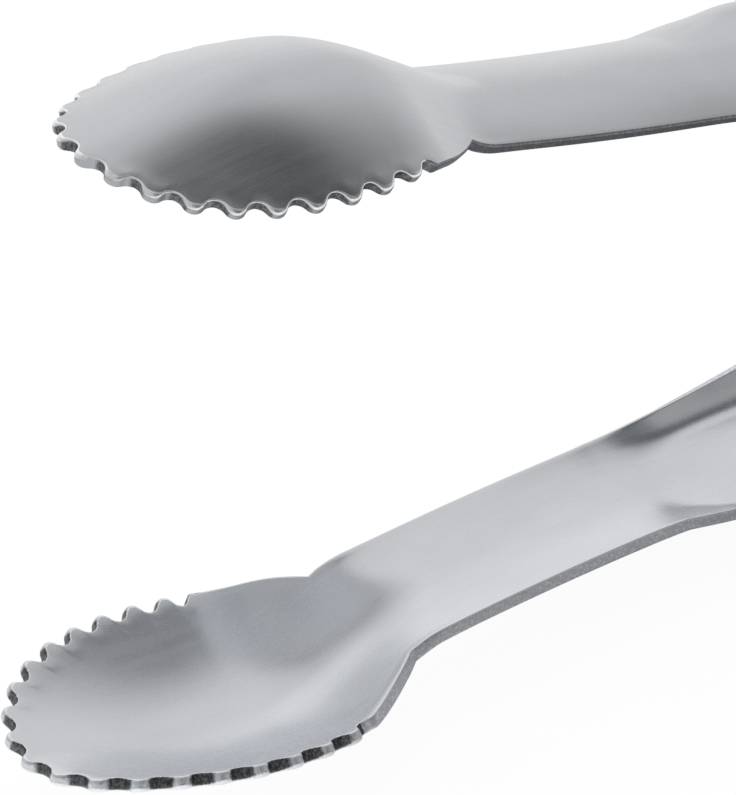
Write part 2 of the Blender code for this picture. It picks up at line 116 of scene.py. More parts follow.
# Pivot, lock and spring
clearance = 0.0003
closing_angle = math.radians(19.9)
pivot_radius = 0.0016
rivet_head_radius = 0.0032
rivet_head_height = 0.0013
rivet_edge = 0.0001
rivet_dome_start = 12.0
rivet_rim_share = 0.3
boss_radius = 0.0048
lock_pin_radius = 0.0014
lock_in = 0.0065
lock_travel = 0.009
lock_pin_overhang = 0.0008
hook_root_width = 0.0004
barrel_wall = 0.001
tab_half_width = 0.007
tab_length = 0.029
hang_hole_radius = 0.0036
wire_radius = 0.0006
wire_dome_share = 0.6
spring_turns = 4
coil_gap = 0.00045
spring_leg_reach = 0.022

# Slopes and shares
neck_slope_share = 0.100
neck_bend_share = 0.0413
shoulder_lift_share = 0.0117
handle_slope_share = 0.2325
dome_round_share = 0.16
rim_flare_share = 0.8
focus_share = 0.21
crest_share = 0.36
kink_round_share = 0.12
channel_start_angle = math.radians(40)
channel_start_slope_share = 0.105
last_flank_share = 0.3
soft_share = 0.7
full_share = 0.8
far_pitch_share = 0.942

# The photographed bowls' slant: how far their sides and tips stand out of square, and how much
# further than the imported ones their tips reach
side_slant = 0.02
tip_slant = 0.01
slant_start = 0.008
tip_reach = 0.00045
tip_reach_start = 0.018
neck_flattening = 0.0009

# Rows across a section, counted from its middle: where its flat and its corner end, where the rim
# starts to swell, and its edge. Then the share of a bowl's ray from which it leans out into the
# teeth, and mesh steps: along the bowl's plain rear edge, and between the stations of neck and handle
flat_end = 3.0
corner_end = 7.0
swell_start = 8.0
edge_row = 9.0
lean_start = 0.86
rear_edge_steps = 23
handle_steps = (46, 44, 44, 96)

# Rim of the bowls: how much it is upset, the steps of a rounded edge in degrees, how its corners'
# radii grow with the wave, the wave's height that plain edges are given, and the last column of a
# plain edge's section that counts as sheared
rim_swell = 0.12
corner_turns = (0.0, 22.5, 45.0, 67.5, 90.0)
outer_corner_shares = (0.9, 2.3)
outer_corner_power = 1.5
inner_corner_shares = (1.0, 1.2)
plain_edge_wave = 0.4
last_sheared_column = 7

# Edges: the width of the tumbled ones, what counts as sharp, and how near points are merged
tumbled_width = 0.00012
sharp_angle = math.radians(50.0)
weld_distance = 2e-6

# Grain of the steels: noise cells to the metre along each axis, each family of scratches as its turn
# across the streaks and its seed, and how far one half's streaks are shifted from the other's
cloud_grain = (90.0, 140.0, 1.0)
torn_grain = (4200.0, 4200.0, 2400.0)
fleck_grain = (3000.0, 3000.0, 3400.0)
rim_grain = (1500.0, 1500.0, 1500.0)
turned_grain = (1900.0, 5200.0, 1900.0)
wear_grain = (320.0, 320.0, 320.0)
scratch_families = ((0.62, 7.0), (-0.48, 3.0), (1.25, 11.0))
streak_shift = 0.013

# Looks of the arms by body: scratches of the sheet, the painted light of its cut edge, and of the rim the
# tips' painted brightness, the span of the dark flanks (torn, with painted shade) as shares of a turn of the
# wave, and the grit
arm_looks = {
    "lower": (0.4, 1.9, 1.0, (0.27, 0.84), 0.9),
    "upper": (1.4, 0.6, 0.6, (0.42, 0.86), 0.25),
}

# Room and floor that the steel reflects. Each area of the room is the azimuth and height of its
# middle, its inner and outer half angle, and what it adds. The floor's glow, as the steel sees it,
# grows from the first to the last of two distances from a point on it beside the arms: a painted shadow.
room_base = 0.775
room_areas = (
    (-53.0, 16.0, 38.0, 76.0, -0.35),
    (-168.0, -9.0, 90.0, 120.0, -0.28),
    (98.0, -3.0, 46.0, 62.0, 0.13),
)
floor_radius = 6.0
floor_drop = 0.0002
floor_sides = 96
floor_shade_middle = (-0.01, -0.035, 0.0)
floor_shade_reach = (0.03, 0.11)
floor_glow = 0.3
floor_glow_gain = 0.65
floor_camera_glow = 1.04
floor_camera_share = 0.9
soft_box_place = (0.35, 0.45, 1.3)

# Dark card that the upper bowl reflects: its middle, the way it faces and its two half lengths
card_middle = (-0.0538, -0.0158, 0.126)
card_facing = (-12.6, 52.9)
card_reach = (0.0322, 0.1723)
card_turn = math.radians(-41.3)
card_clear_middle = 0.12

# Camera of the photograph in the pair's frame: place, then its right, up and back directions
camera_place = (-0.775022, -0.736642, 0.533485)
camera_turn = (
    (0.789554, -0.606944, 0.090678),
    (0.233927, 0.43427, 0.869878),
    (-0.567346, -0.665604, 0.484861),
)
camera_lens = 498.11


class TongsArmSizes(bpy.types.PropertyGroup):
    """Sizes of the stamped arms."""

    sheet: FloatProperty(
        name="Sheet", description="Thickness of the steel sheet", default=0.0012, unit="LENGTH", precision=5)
    tooth_pitch: FloatProperty(
        name="Tooth Pitch", description="Length of one tooth and gap along the rim", default=0.00405,
        unit="LENGTH", precision=5)
    tooth_depth: FloatProperty(
        name="Tooth Depth", description="How far the teeth stand out of the gaps", default=0.00125,
        unit="LENGTH", precision=5)
    edge_round: FloatProperty(
        name="Edge Rounding", description="Radius of the tumbled edges of the sheet", default=0.00018,
        unit="LENGTH", precision=5)
    steps_per_tooth: IntProperty(
        name="Steps per Tooth", description="Mesh steps along one tooth and gap", default=16, min=4, max=32)


class TongsSteelLook(bpy.types.PropertyGroup):
    """Colours and finish of the steel, and the painted shade of the upper arm's sheet."""

    steel: FloatVectorProperty(
        name="Steel", description="Colour of the brushed sheet", subtype="COLOR", size=3,
        default=(0.735, 0.755, 0.785), min=0.0, max=1.0)
    cut: FloatVectorProperty(
        name="Cut Edge", description="Colour of the sheared edge of the sheet", subtype="COLOR", size=3,
        default=(0.35, 0.36, 0.38), min=0.0, max=1.0)
    wire: FloatVectorProperty(
        name="Wire", description="Colour of the spring wire", subtype="COLOR", size=3,
        default=(0.42, 0.42, 0.43), min=0.0, max=1.0)
    # Painted shade: the share by which the upper arm's sheet is a darker copy of the same steel.
    upper_painted_shade: FloatProperty(
        name="Upper Dulling", description="Brightness of the upper arm's sheet beside the lower arm's",
        default=0.8, min=0.0, max=1.2)
    roughness: FloatProperty(
        name="Roughness", description="Roughness of the brushed sheet", default=0.27, min=0.0, max=1.0)
    brush_length: FloatProperty(
        name="Brush Stroke", description="Length of one brush mark", default=0.004, unit="LENGTH",
        precision=5)
    brush_width: FloatProperty(
        name="Brush Width", description="Width of one brush mark", default=0.00016, unit="LENGTH",
        precision=5)
    brush_depth: FloatProperty(
        name="Brush Depth", description="Strength of the brush marks' relief", default=0.011, min=0.0,
        max=1.0)


class TongsStudioLook(bpy.types.PropertyGroup):
    """Light and floor of the studio."""

    lamp_power: FloatProperty(
        name="Lamp Power", description="Power of the overhead soft box", default=6.0, unit="POWER")
    lamp_size: FloatProperty(
        name="Lamp Size", description="Side of the overhead soft box", default=0.9, unit="LENGTH")
    room_level: FloatProperty(
        name="Room Level", description="Brightness of the grey room that the steel reflects", default=1.0,
        min=0.0, max=2.0)
    contrast: FloatProperty(
        name="Contrast", description="Share of the room's lighter and darker areas", default=1.0, min=0.0,
        max=1.5)
    floor: FloatVectorProperty(
        name="Floor", description="Colour of the floor", subtype="COLOR", size=3, default=(0.9, 0.9, 0.9),
        min=0.0, max=1.0)


class Wire:
    """A socket or a number, on which arithmetic adds Math nodes."""

    def __init__(self, tree, socket):
        self.tree = tree
        self.socket = socket

    def _math(self, operation, first, second):
        node = self.tree.nodes.new("ShaderNodeMath")
        node.operation = operation
        for slot, value in zip(node.inputs, (first, second)):
            if isinstance(value, Wire):
                self.tree.links.new(value.socket, slot)
            else:
                slot.default_value = value
        return Wire(self.tree, node.outputs[0])

    def __add__(self, other):
        return self._math("ADD", self, other)

    def __radd__(self, other):
        return self._math("ADD", other, self)

    def __sub__(self, other):
        return self._math("SUBTRACT", self, other)

    def __rsub__(self, other):
        return self._math("SUBTRACT", other, self)

    def __mul__(self, other):
        return self._math("MULTIPLY", self, other)

    def __rmul__(self, other):
        return self._math("MULTIPLY", other, self)


class Shading:
    """Node tree of one material or world, with one method for any node."""

    def __init__(self, owner):
        self.owner = owner
        owner.use_nodes = True
        self.tree = owner.node_tree
        self.tree.nodes.clear()

    def node(self, kind, settings=None, inputs=None, output=0):
        node = self.tree.nodes.new("ShaderNode" + kind)
        for key, value in (settings or {}).items():
            setattr(node, key, value)
        for key, value in (inputs or {}).items():
            if isinstance(value, Wire):
                self.tree.links.new(value.socket, node.inputs[key])
            else:
                node.inputs[key].default_value = value
        if not node.outputs:
            return None
        return Wire(self.tree, node.outputs[output])

    def ease(self, value, start, end):
        """0 before start, 1 after end and smooth between them."""
        return self.node("MapRange", {"interpolation_type": "SMOOTHSTEP"},
                         {"Value": value, "From Min": start, "From Max": end})

    def noise(self, place, grain, detail, roughness, turn=0.0):
        """Noise at a place that is turned about Z, with this many cells to the metre on each axis."""
        turned = self.node("Mapping", {}, {"Vector": place, "Rotation": (0.0, 0.0, turn)})
        cells = self.node("VectorMath", {"operation": "MULTIPLY"}, {0: turned, 1: grain})
        return self.node("TexNoise", {}, {"Vector": cells, "Scale": 1.0, "Detail": detail,
                                          "Roughness": roughness})

    def mix(self, share, first, second):
        """Blend of two colours."""
        return self.node("Mix", {"data_type": "RGBA"}, {0: share, 6: first, 7: second}, output=2)

    def metal(self, tint, rough, strength, depth, height):
        """The owner as metal of this colour and roughness, with a relief of this strength and depth."""
        relief = self.node("Bump", {}, {"Strength": strength, "Distance": depth, "Height": height})
        shader = self.node("BsdfPrincipled", {}, {
            "Base Color": tint, "Metallic": 1.0, "Roughness": rough, "Normal": relief})
        self.node("OutputMaterial", {}, {"Surface": shader})
        return self.owner


def shade(colour, share):
    """Opaque shade of a colour: each part times the share, 1 at most."""
    return tuple(min(1.0, part * share) for part in colour) + (1.0,)


def brushed_steel(name, colour, look, depth_share, scratches):
    """Brushed sheet: streaks along U, cloudy patches, a few fine scratches across them."""
    shading = Shading(bpy.data.materials.new(name))
    place = shading.node("UVMap", {"uv_map": "sheet"})
    fine = (1.0 / look.brush_length, 1.0 / look.brush_width, 1.0)
    streaks = shading.noise(place, fine, 3.0, 0.6)
    wide = (1.0 / (look.brush_length * 4.0), 1.0 / (look.brush_width * 5.0), 1.0)
    bands = shading.noise(place, wide, 2.0, 0.5)
    clouds = shading.noise(place, cloud_grain, 3.0, 0.55)
    marks = None
    for turn, seed in scratch_families:
        thin = (210.0 + seed, 5200.0 + 40.0 * seed, 1.0)
        across = shading.noise(place, thin, 1.0, 0.4, turn)
        where = shading.noise(place, (170.0 + seed, 170.0, 1.0), 1.0, 0.5, turn)
        line = shading.ease(across, 0.70, 0.76) * shading.ease(where, 0.52, 0.66)
        marks = line if marks is None else marks + line
    rough = look.roughness + 0.08 * (clouds - 0.5) + 0.10 * (bands - 0.5) + 0.06 * (streaks - 0.5)
    rough = rough + 0.06 * scratches * marks
    level = 0.94 + 0.12 * clouds
    share = shading.ease(level + 0.05 * (streaks - 0.5), 0.94, 1.06)
    tint = shading.mix(share, shade(colour, 0.94), shade(colour, 1.06))
    height = streaks * 0.6 + bands * 0.4 + marks * (0.5 * scratches)
    return shading.metal(tint, rough, look.brush_depth * depth_share, 0.00004, height)


def cut_steel(name, look, painted_edge_light):
    """Sheared edge: torn grain with small bright and dark flecks, both scaled by a share that is painted
    light.
    """
    shading = Shading(bpy.data.materials.new(name))
    place = shading.node("TexCoord", output=3)
    torn = shading.noise(place, torn_grain, 3.0, 0.6)
    flecks = shading.noise(place, fleck_grain, 2.0, 0.6)
    # Both shades of the edge are scaled by the last argument, a painted light level: lighter on the lower arm
    # than on the upper.
    tint = shading.mix(shading.ease(flecks, 0.46, 0.66), shade(look.cut, painted_edge_light),
                       shade(look.cut, 0.2 + 1.2 * painted_edge_light))
    return shading.metal(tint, 0.28 + 0.25 * torn, 0.45, 0.0001, torn)


def rim_steel(name, look, tip, torn_and_painted_shade_span, grit):
    """Upset rim of a bowl: a bright bead along its edge, partly rubbed polish and partly painted highlight,
    tips of a painted brightness, and in each gap a dark flank, partly torn and partly painted shade, between
    two shares of a turn of the wave."""
    shading = Shading(bpy.data.materials.new(name))
    place = shading.node("TexCoord", output=3)
    grain = shading.noise(place, rim_grain, 2.0, 0.55)
    torn = shading.noise(place, torn_grain, 2.0, 0.6)
    marks = shading.node("UVMap", {"uv_map": "rim"})
    turns = shading.node("SeparateXYZ", {}, {0: marks}, output=0)
    round_rim = shading.node("SeparateXYZ", {}, {0: marks}, output=1)
    phase = shading.node("Math", {"operation": "FRACT"}, {0: turns}) + 0.12 * (grain - 0.5)
    # Dark flank between the two shares: partly the torn finish, partly painted shade on one side of each gap.
    start, end = torn_and_painted_shade_span
    flank = shading.ease(phase, start - 0.06, start + 0.06)
    flank = flank * (1.0 - shading.ease(phase, end - 0.05, end + 0.05))
    edge = round_rim + 0.25 * grit * (torn - 0.5)
    wall = shading.ease(edge, 0.2, 0.4) * (1.0 - shading.ease(edge, 0.8, 0.96))
    ragged = shading.mix(shading.ease(torn, 0.4, 0.7), shade(look.cut, 0.22), shade(look.cut, 0.6))
    # The tips' share of the steel's colour is painted light and shade: grey on the upper arm, full on the
    # lower.
    side = shading.mix(flank, shade(look.steel, tip), ragged)
    # The bead at 1.3 times the steel's colour is partly its rubbed polish and partly painted highlight.
    tint = shading.mix(wall, shade(look.steel, 1.3), side)
    return shading.metal(tint, 0.2 + 0.14 * wall + 0.1 * torn, grit, 0.0001, torn)


def turned_steel(name, colour, roughness):
    """Turned or drawn steel: a faint grain all round, with darker worn patches."""
    shading = Shading(bpy.data.materials.new(name))
    place = shading.node("TexCoord", output=3)
    grain = shading.noise(place, turned_grain, 2.0, 0.6)
    wear = shading.noise(place, wear_grain, 2.0, 0.5)
    tint = shading.mix(shading.ease(wear, 0.35, 0.65), shade(colour, 0.86), shade(colour, 1.0))
    return shading.metal(tint, roughness + 0.12 * (grain - 0.5), 0.08, 0.00004, grain)


def smooth(share):
    """Ease from 0 to 1: 3 s^2 - 2 s^3 of the share s, clipped."""
    share = np.clip(share, 0.0, 1.0)
    return share * share * (3.0 - 2.0 * share)


def higher(first, second, fillet):
    """The higher of two surfaces: a blend by their difference, plus a fillet where they cross."""
    share = np.clip(0.5 + 0.5 * (first - second) / fillet, 0.0, 1.0)
    return second * (1.0 - share) + first * share + fillet * share * (1.0 - share)


def rim_angle_at_neck():
    """Angle at which the root curve of the gaps reaches the neck."""
    return math.acos(bowl_centre / bowl_rear)


def rim_point(angle):
    """Root curve in plan: x = run cos a - centre, y = half width sin a, with a run for each half."""
    run = np.where(np.cos(angle) > 0.0, bowl_rear, bowl_front)
    return run * np.cos(angle) - bowl_centre, bowl_half_width * np.sin(angle)


def rim_by_length(lengths):
    """Angles on the root curve at these arc lengths from the tip, and its whole length."""
    angles = np.linspace(math.pi, rim_angle_at_neck(), 2001)
    along, across = rim_point(angles)
    travelled = np.concatenate([[0.0], np.cumsum(np.hypot(np.diff(along), np.diff(across)))])
    return np.interp(lengths, travelled, angles), travelled[-1]


def neck_edge_height(along):
    """Edge of the neck: a parabola in the distance from the neck's end, faded under the bowl."""
    back = neck_length - np.maximum(along, 0.0)
    under = np.minimum(along, 0.0)
    height = neck_end_edge_height + neck_slope_share * back + neck_bend_share * back * back / neck_length
    slope = neck_slope_share + 2.0 * neck_bend_share
    return height - slope * under - under * under / (2.0 * neck_fade_radius)


def bowl_height(along, across):
    """Dished bowl: rim height, plus a dome of the distance inside the root ellipse, plus a cubic
    curl at the tip, less a square dip towards the neck."""
    run = np.where(along < -bowl_centre, bowl_front, bowl_rear)
    inside = 1.0 - ((along + bowl_centre) / run) ** 2 - (across / bowl_half_width) ** 2
    inside = np.where(inside < 0.0, rim_flare_share * inside, inside)
    dome = bowl_depth * ((1.0 - dome_round_share) * inside + dome_round_share * inside * np.abs(inside))
    tip_start = bowl_centre + bowl_front - tip_curl_length
    curl = np.clip((-along - tip_start) / tip_curl_length, 0.0, None) ** 3
    dip = np.clip(1.0 + along / rear_dip_length, 0.0, None) ** 2
    edge = 2.0 * across ** 2 / (across ** 2 + neck_half_width ** 2)
    return bowl_rim_height + dome + tip_curl * curl - dip * (rear_dip_middle + rear_dip_edge * edge)


def crown_height(along, share):
    """Rise of the neck over its edges: a parabola in the share across that grows to the shoulder."""
    fuller = shoulder_crown * smooth(1.0 + (along - neck_length) / shoulder_crown_length)
    return (neck_crown + fuller) * (1.0 - share ** 2)


def front_height(along, across):
    """Bowl and crowned neck, whichever is higher."""
    crown = crown_height(along, across / flared_width(along))
    return higher(bowl_height(along, across), neck_edge_height(along) + crown, bowl_fillet)


def flared_width(along):
    """Half width: it grows past the neck along a parabola, from a rounded kink."""
    share = (along - neck_length) / shoulder_length
    share = 0.5 * (share + np.sqrt(share ** 2 + kink_round_share ** 2))
    return neck_half_width + (handle_half_width - neck_half_width) * (1.0 - np.maximum(1.0 - share, 0.0) ** 2)


def neck_width(along):
    """Half width of the neck, which starts from the end of the bowl's outline."""
    corner = bowl_half_width * math.sin(rim_angle_at_neck())
    return flared_width(along) + (corner - neck_half_width) * (1.0 - smooth(along / neck_half_width))


def pad_slope(sheet):
    """Slope of the line from the back of the handle that just touches the outside of the bowl."""
    along = np.linspace(-bowl_centre - bowl_front, 0.0, 400)
    outside = front_height(along, np.zeros_like(along)) + sheet / 2
    return float(np.max((outside - back_height_at_pivot - sheet / 2) / (reach - along)))


def back_height(x, sheet):
    """Middle of the back: a cubic from the shoulder to the rear, then a straight line."""
    slope = pad_slope(sheet)
    start = neck_length + shoulder_length - reach
    rear = -pad_front
    start_height = neck_edge_height(neck_length) + neck_crown + channel_rise
    start_height = start_height - channel_start_slope_share * shoulder_length
    rear_height = back_height_at_pivot + slope * pad_front
    span = rear - start
    share = np.clip((x - start) / span, 0.0, 1.0)
    ahead = np.minimum(x - start, 0.0)
    cubic = start_height * (1.0 - smooth(share)) + rear_height * smooth(share)
    cubic = cubic - channel_start_slope_share * span * share * (1.0 - share) ** 2
    cubic = cubic + slope * span * share ** 2 * (1.0 - share)
    return cubic - channel_start_slope_share * ahead - slope * np.maximum(x - rear, 0.0)


def edge_height(x, ear_depth):
    """Edge of the channel: level past the shoulder, a fall along a parabola, a line, then the ear."""
    past = np.maximum(x + reach - neck_length, 0.0)
    bend = np.minimum(past, shoulder_length)
    fall = (shoulder_lift_share + handle_slope_share) * bend * bend / (2.0 * shoulder_length)
    height = neck_edge_height(neck_length) + shoulder_lift_share * bend - fall
    height = height - handle_slope_share * np.maximum(past - shoulder_length, 0.0)
    ear = smooth((x + ear_front) / (ear_front - ear_full))
    rear_ear = boss_radius + (ear_depth - boss_radius) * smooth(x / boss_radius)
    return height * (1.0 - ear) - rear_ear * ear


def channel_half(q, half_width, back, edge, angle, radius):
    """Half section at row q: a flat, then an arc of the corner angle, then a straight wall."""
    wall = (back - edge - radius * (1.0 - np.cos(angle))) / np.sin(angle)
    flat = half_width - radius * np.sin(angle) - wall * np.cos(angle)
    turn = angle * np.clip((q - flat_end) / (corner_end - flat_end), 0.0, 1.0)
    foot_y = flat + radius * np.sin(angle)
    foot_z = back - radius * (1.0 - np.cos(angle))
    down = np.clip((q - corner_end) / (edge_row - corner_end), 0.0, 1.0)
    y = np.where(q < flat_end, flat * q / flat_end, flat + radius * np.sin(turn))
    y = np.where(q > corner_end, foot_y + (half_width - foot_y) * down, y)
    z = np.where(q < corner_end, back - radius * (1.0 - np.cos(turn)), foot_z + (edge - foot_z) * down)
    return y, z


def handle_grid(x, q, ear_half_width, ear_depth, sheet):
    """Middle surface of neck and handle: crowned sections that turn into channel sections along the
    first part of the shoulder, while the back rises to the crest. With s the share across, a crown
    is a mix of 1 - s^2 and 1 - s^6 that grows fuller along the shoulder."""
    x, q = x[:, None], q[None, :]
    along = x + reach
    share = q / edge_row
    neck_y = neck_width(along) * share
    neck_z = front_height(along, neck_y)
    joggle = smooth((x + joggle_start) / (joggle_start - joggle_end))
    half_width = flared_width(along) - (handle_half_width - ear_half_width) * joggle
    edge = edge_height(x, ear_depth)
    past = np.clip((along - neck_length - crest_start) / (shoulder_length * crest_share), 0.0, 1.0)
    opened = smooth(past)
    neck_back = neck_edge_height(neck_length) + crown_height(along, 0.0)
    neck_back = neck_back - neck_slope_share * (along - neck_length)
    back = back_height(x, sheet) * opened + neck_back * (1.0 - opened)
    steep = smooth((along - neck_length) / (2.0 * shoulder_length))
    angle = channel_start_angle + (math.pi / 2.0 - channel_start_angle) * steep
    rearward = smooth((x + 2.0 * joggle_start) / joggle_start)
    radius = front_corner_radius + (rear_corner_radius - front_corner_radius) * rearward
    channel_y, channel_z = channel_half(q, half_width, back, edge, angle, radius)
    fuller = full_share * smooth((along - neck_length) / (2.0 * shoulder_length))
    fullness = (1.0 - fuller) * (1.0 - share ** 2) + fuller * (1.0 - share ** 6)
    crowned_z = edge + (back - edge) * fullness
    squared = smooth((along - neck_length - crest_start) / (soft_share * shoulder_length))
    y = channel_y * squared + half_width * share * (1.0 - squared)
    z = channel_z * squared + crowned_z * (1.0 - squared)
    y = np.where(along <= neck_length, neck_y, y)
    z = np.where(along <= neck_length, neck_z, z)
    return np.stack([np.broadcast_to(x, y.shape), y, z], axis=-1)


def tooth_wave(turns, sizes):
    """Wave of round teeth and gaps: arcs of one radius that meet where their flanks are steepest.

    With t the flank's angle, a half tooth swings through w from -t to t: run = sin w / (4 sin t) and
    height = (1 + (cos w - cos t) / (1 - cos t)) / 2, upside down in the gaps."""
    steepest = 2.0 * math.atan(2.0 * sizes.tooth_depth / sizes.tooth_pitch)
    middle = np.round(2.0 * turns) / 2.0
    swing = 4.0 * (turns - middle) * steepest
    run = middle + np.sin(swing) / (4.0 * math.sin(steepest))
    lean = 0.5 * (np.cos(swing) - math.cos(steepest)) / (1.0 - math.cos(steepest))
    return run, np.where(np.isclose(middle, np.round(middle)), 0.5 + lean, 0.5 - lean)


def outline_offset(length, sizes, pitch_share):
    """Place along the root curve, distance out of it and height of the wave at these lengths."""
    pitch = sizes.tooth_pitch * pitch_share
    run, wave = tooth_wave(length / pitch, sizes)
    past = length / pitch - gaps_per_side + 0.5
    wave = np.where(past > 0.0, smooth(past / last_flank_share), wave)
    _, end = rim_by_length(0.0)
    plain = end / pitch - gaps_per_side + 0.5
    place = np.where(past > 0.0, length, run * pitch)
    along, _ = rim_point(rim_by_length(place)[0])
    fade = smooth(-along / teeth_fade_length)
    return place, sizes.tooth_depth * fade * wave - rear_inset * smooth(past / plain), fade * wave


def bowl_grid(lengths, q, sizes, pitch_share):
    """Middle surface of the bowl: rays from the spine to the root curve, whose last seventh leans
    out into the teeth. The height comes from front_height."""
    place, offset, _ = outline_offset(lengths, sizes, pitch_share)
    angle, _ = rim_by_length(place)
    along, across = rim_point(angle)
    start = (1.0 + np.cos(rim_by_length(lengths)[0])) / (1.0 + math.cos(rim_angle_at_neck()))
    spine = (-bowl_centre - focus_share * bowl_front) * (1.0 - start)
    run = np.where(np.cos(angle) > 0.0, bowl_rear, bowl_front)
    normal = np.stack([np.cos(angle) / run, np.sin(angle) / bowl_half_width], axis=-1)
    normal /= np.linalg.norm(normal, axis=-1, keepdims=True)
    share = q[None, :] / edge_row
    out = offset[:, None] * smooth((share - lean_start) / (1.0 - lean_start))
    x = spine[:, None] + (along - spine)[:, None] * share + out * normal[:, :1]
    y = across[:, None] * share + out * normal[:, 1:]
    return np.stack([x - reach, y, front_height(x, y)], axis=-1)


def height_normals(points):
    """Unit normals of the bowl and neck from the slopes of front_height."""
    x, y = points[..., 0] + reach, points[..., 1]
    step = 2e-5
    slope_x = (front_height(x + step, y) - front_height(x - step, y)) / (2.0 * step)
    slope_y = (front_height(x, y + step) - front_height(x, y - step)) / (2.0 * step)
    normal = np.stack([-slope_x, -slope_y, np.ones_like(slope_x)], axis=-1)
    return normal / np.linalg.norm(normal, axis=-1, keepdims=True)


def grid_normals(points):
    """Unit normals of a grid: the cross product of its two directions, turned away from Z = 0."""
    normal = np.cross(np.gradient(points, axis=0), np.gradient(points, axis=1))
    normal /= np.linalg.norm(normal, axis=-1, keepdims=True)
    return normal * np.where(normal[:, :1, 2:] < 0.0, -1.0, 1.0)


def grid_faces(rows, columns, first=0):
    """Quads of a grid of points that starts at this index."""
    index = first + np.arange(rows * columns).reshape(rows, columns)
    corners = [index[:-1, :-1], index[1:, :-1], index[1:, 1:], index[:-1, 1:]]
    return np.stack(corners, axis=-1).reshape(-1, 4)


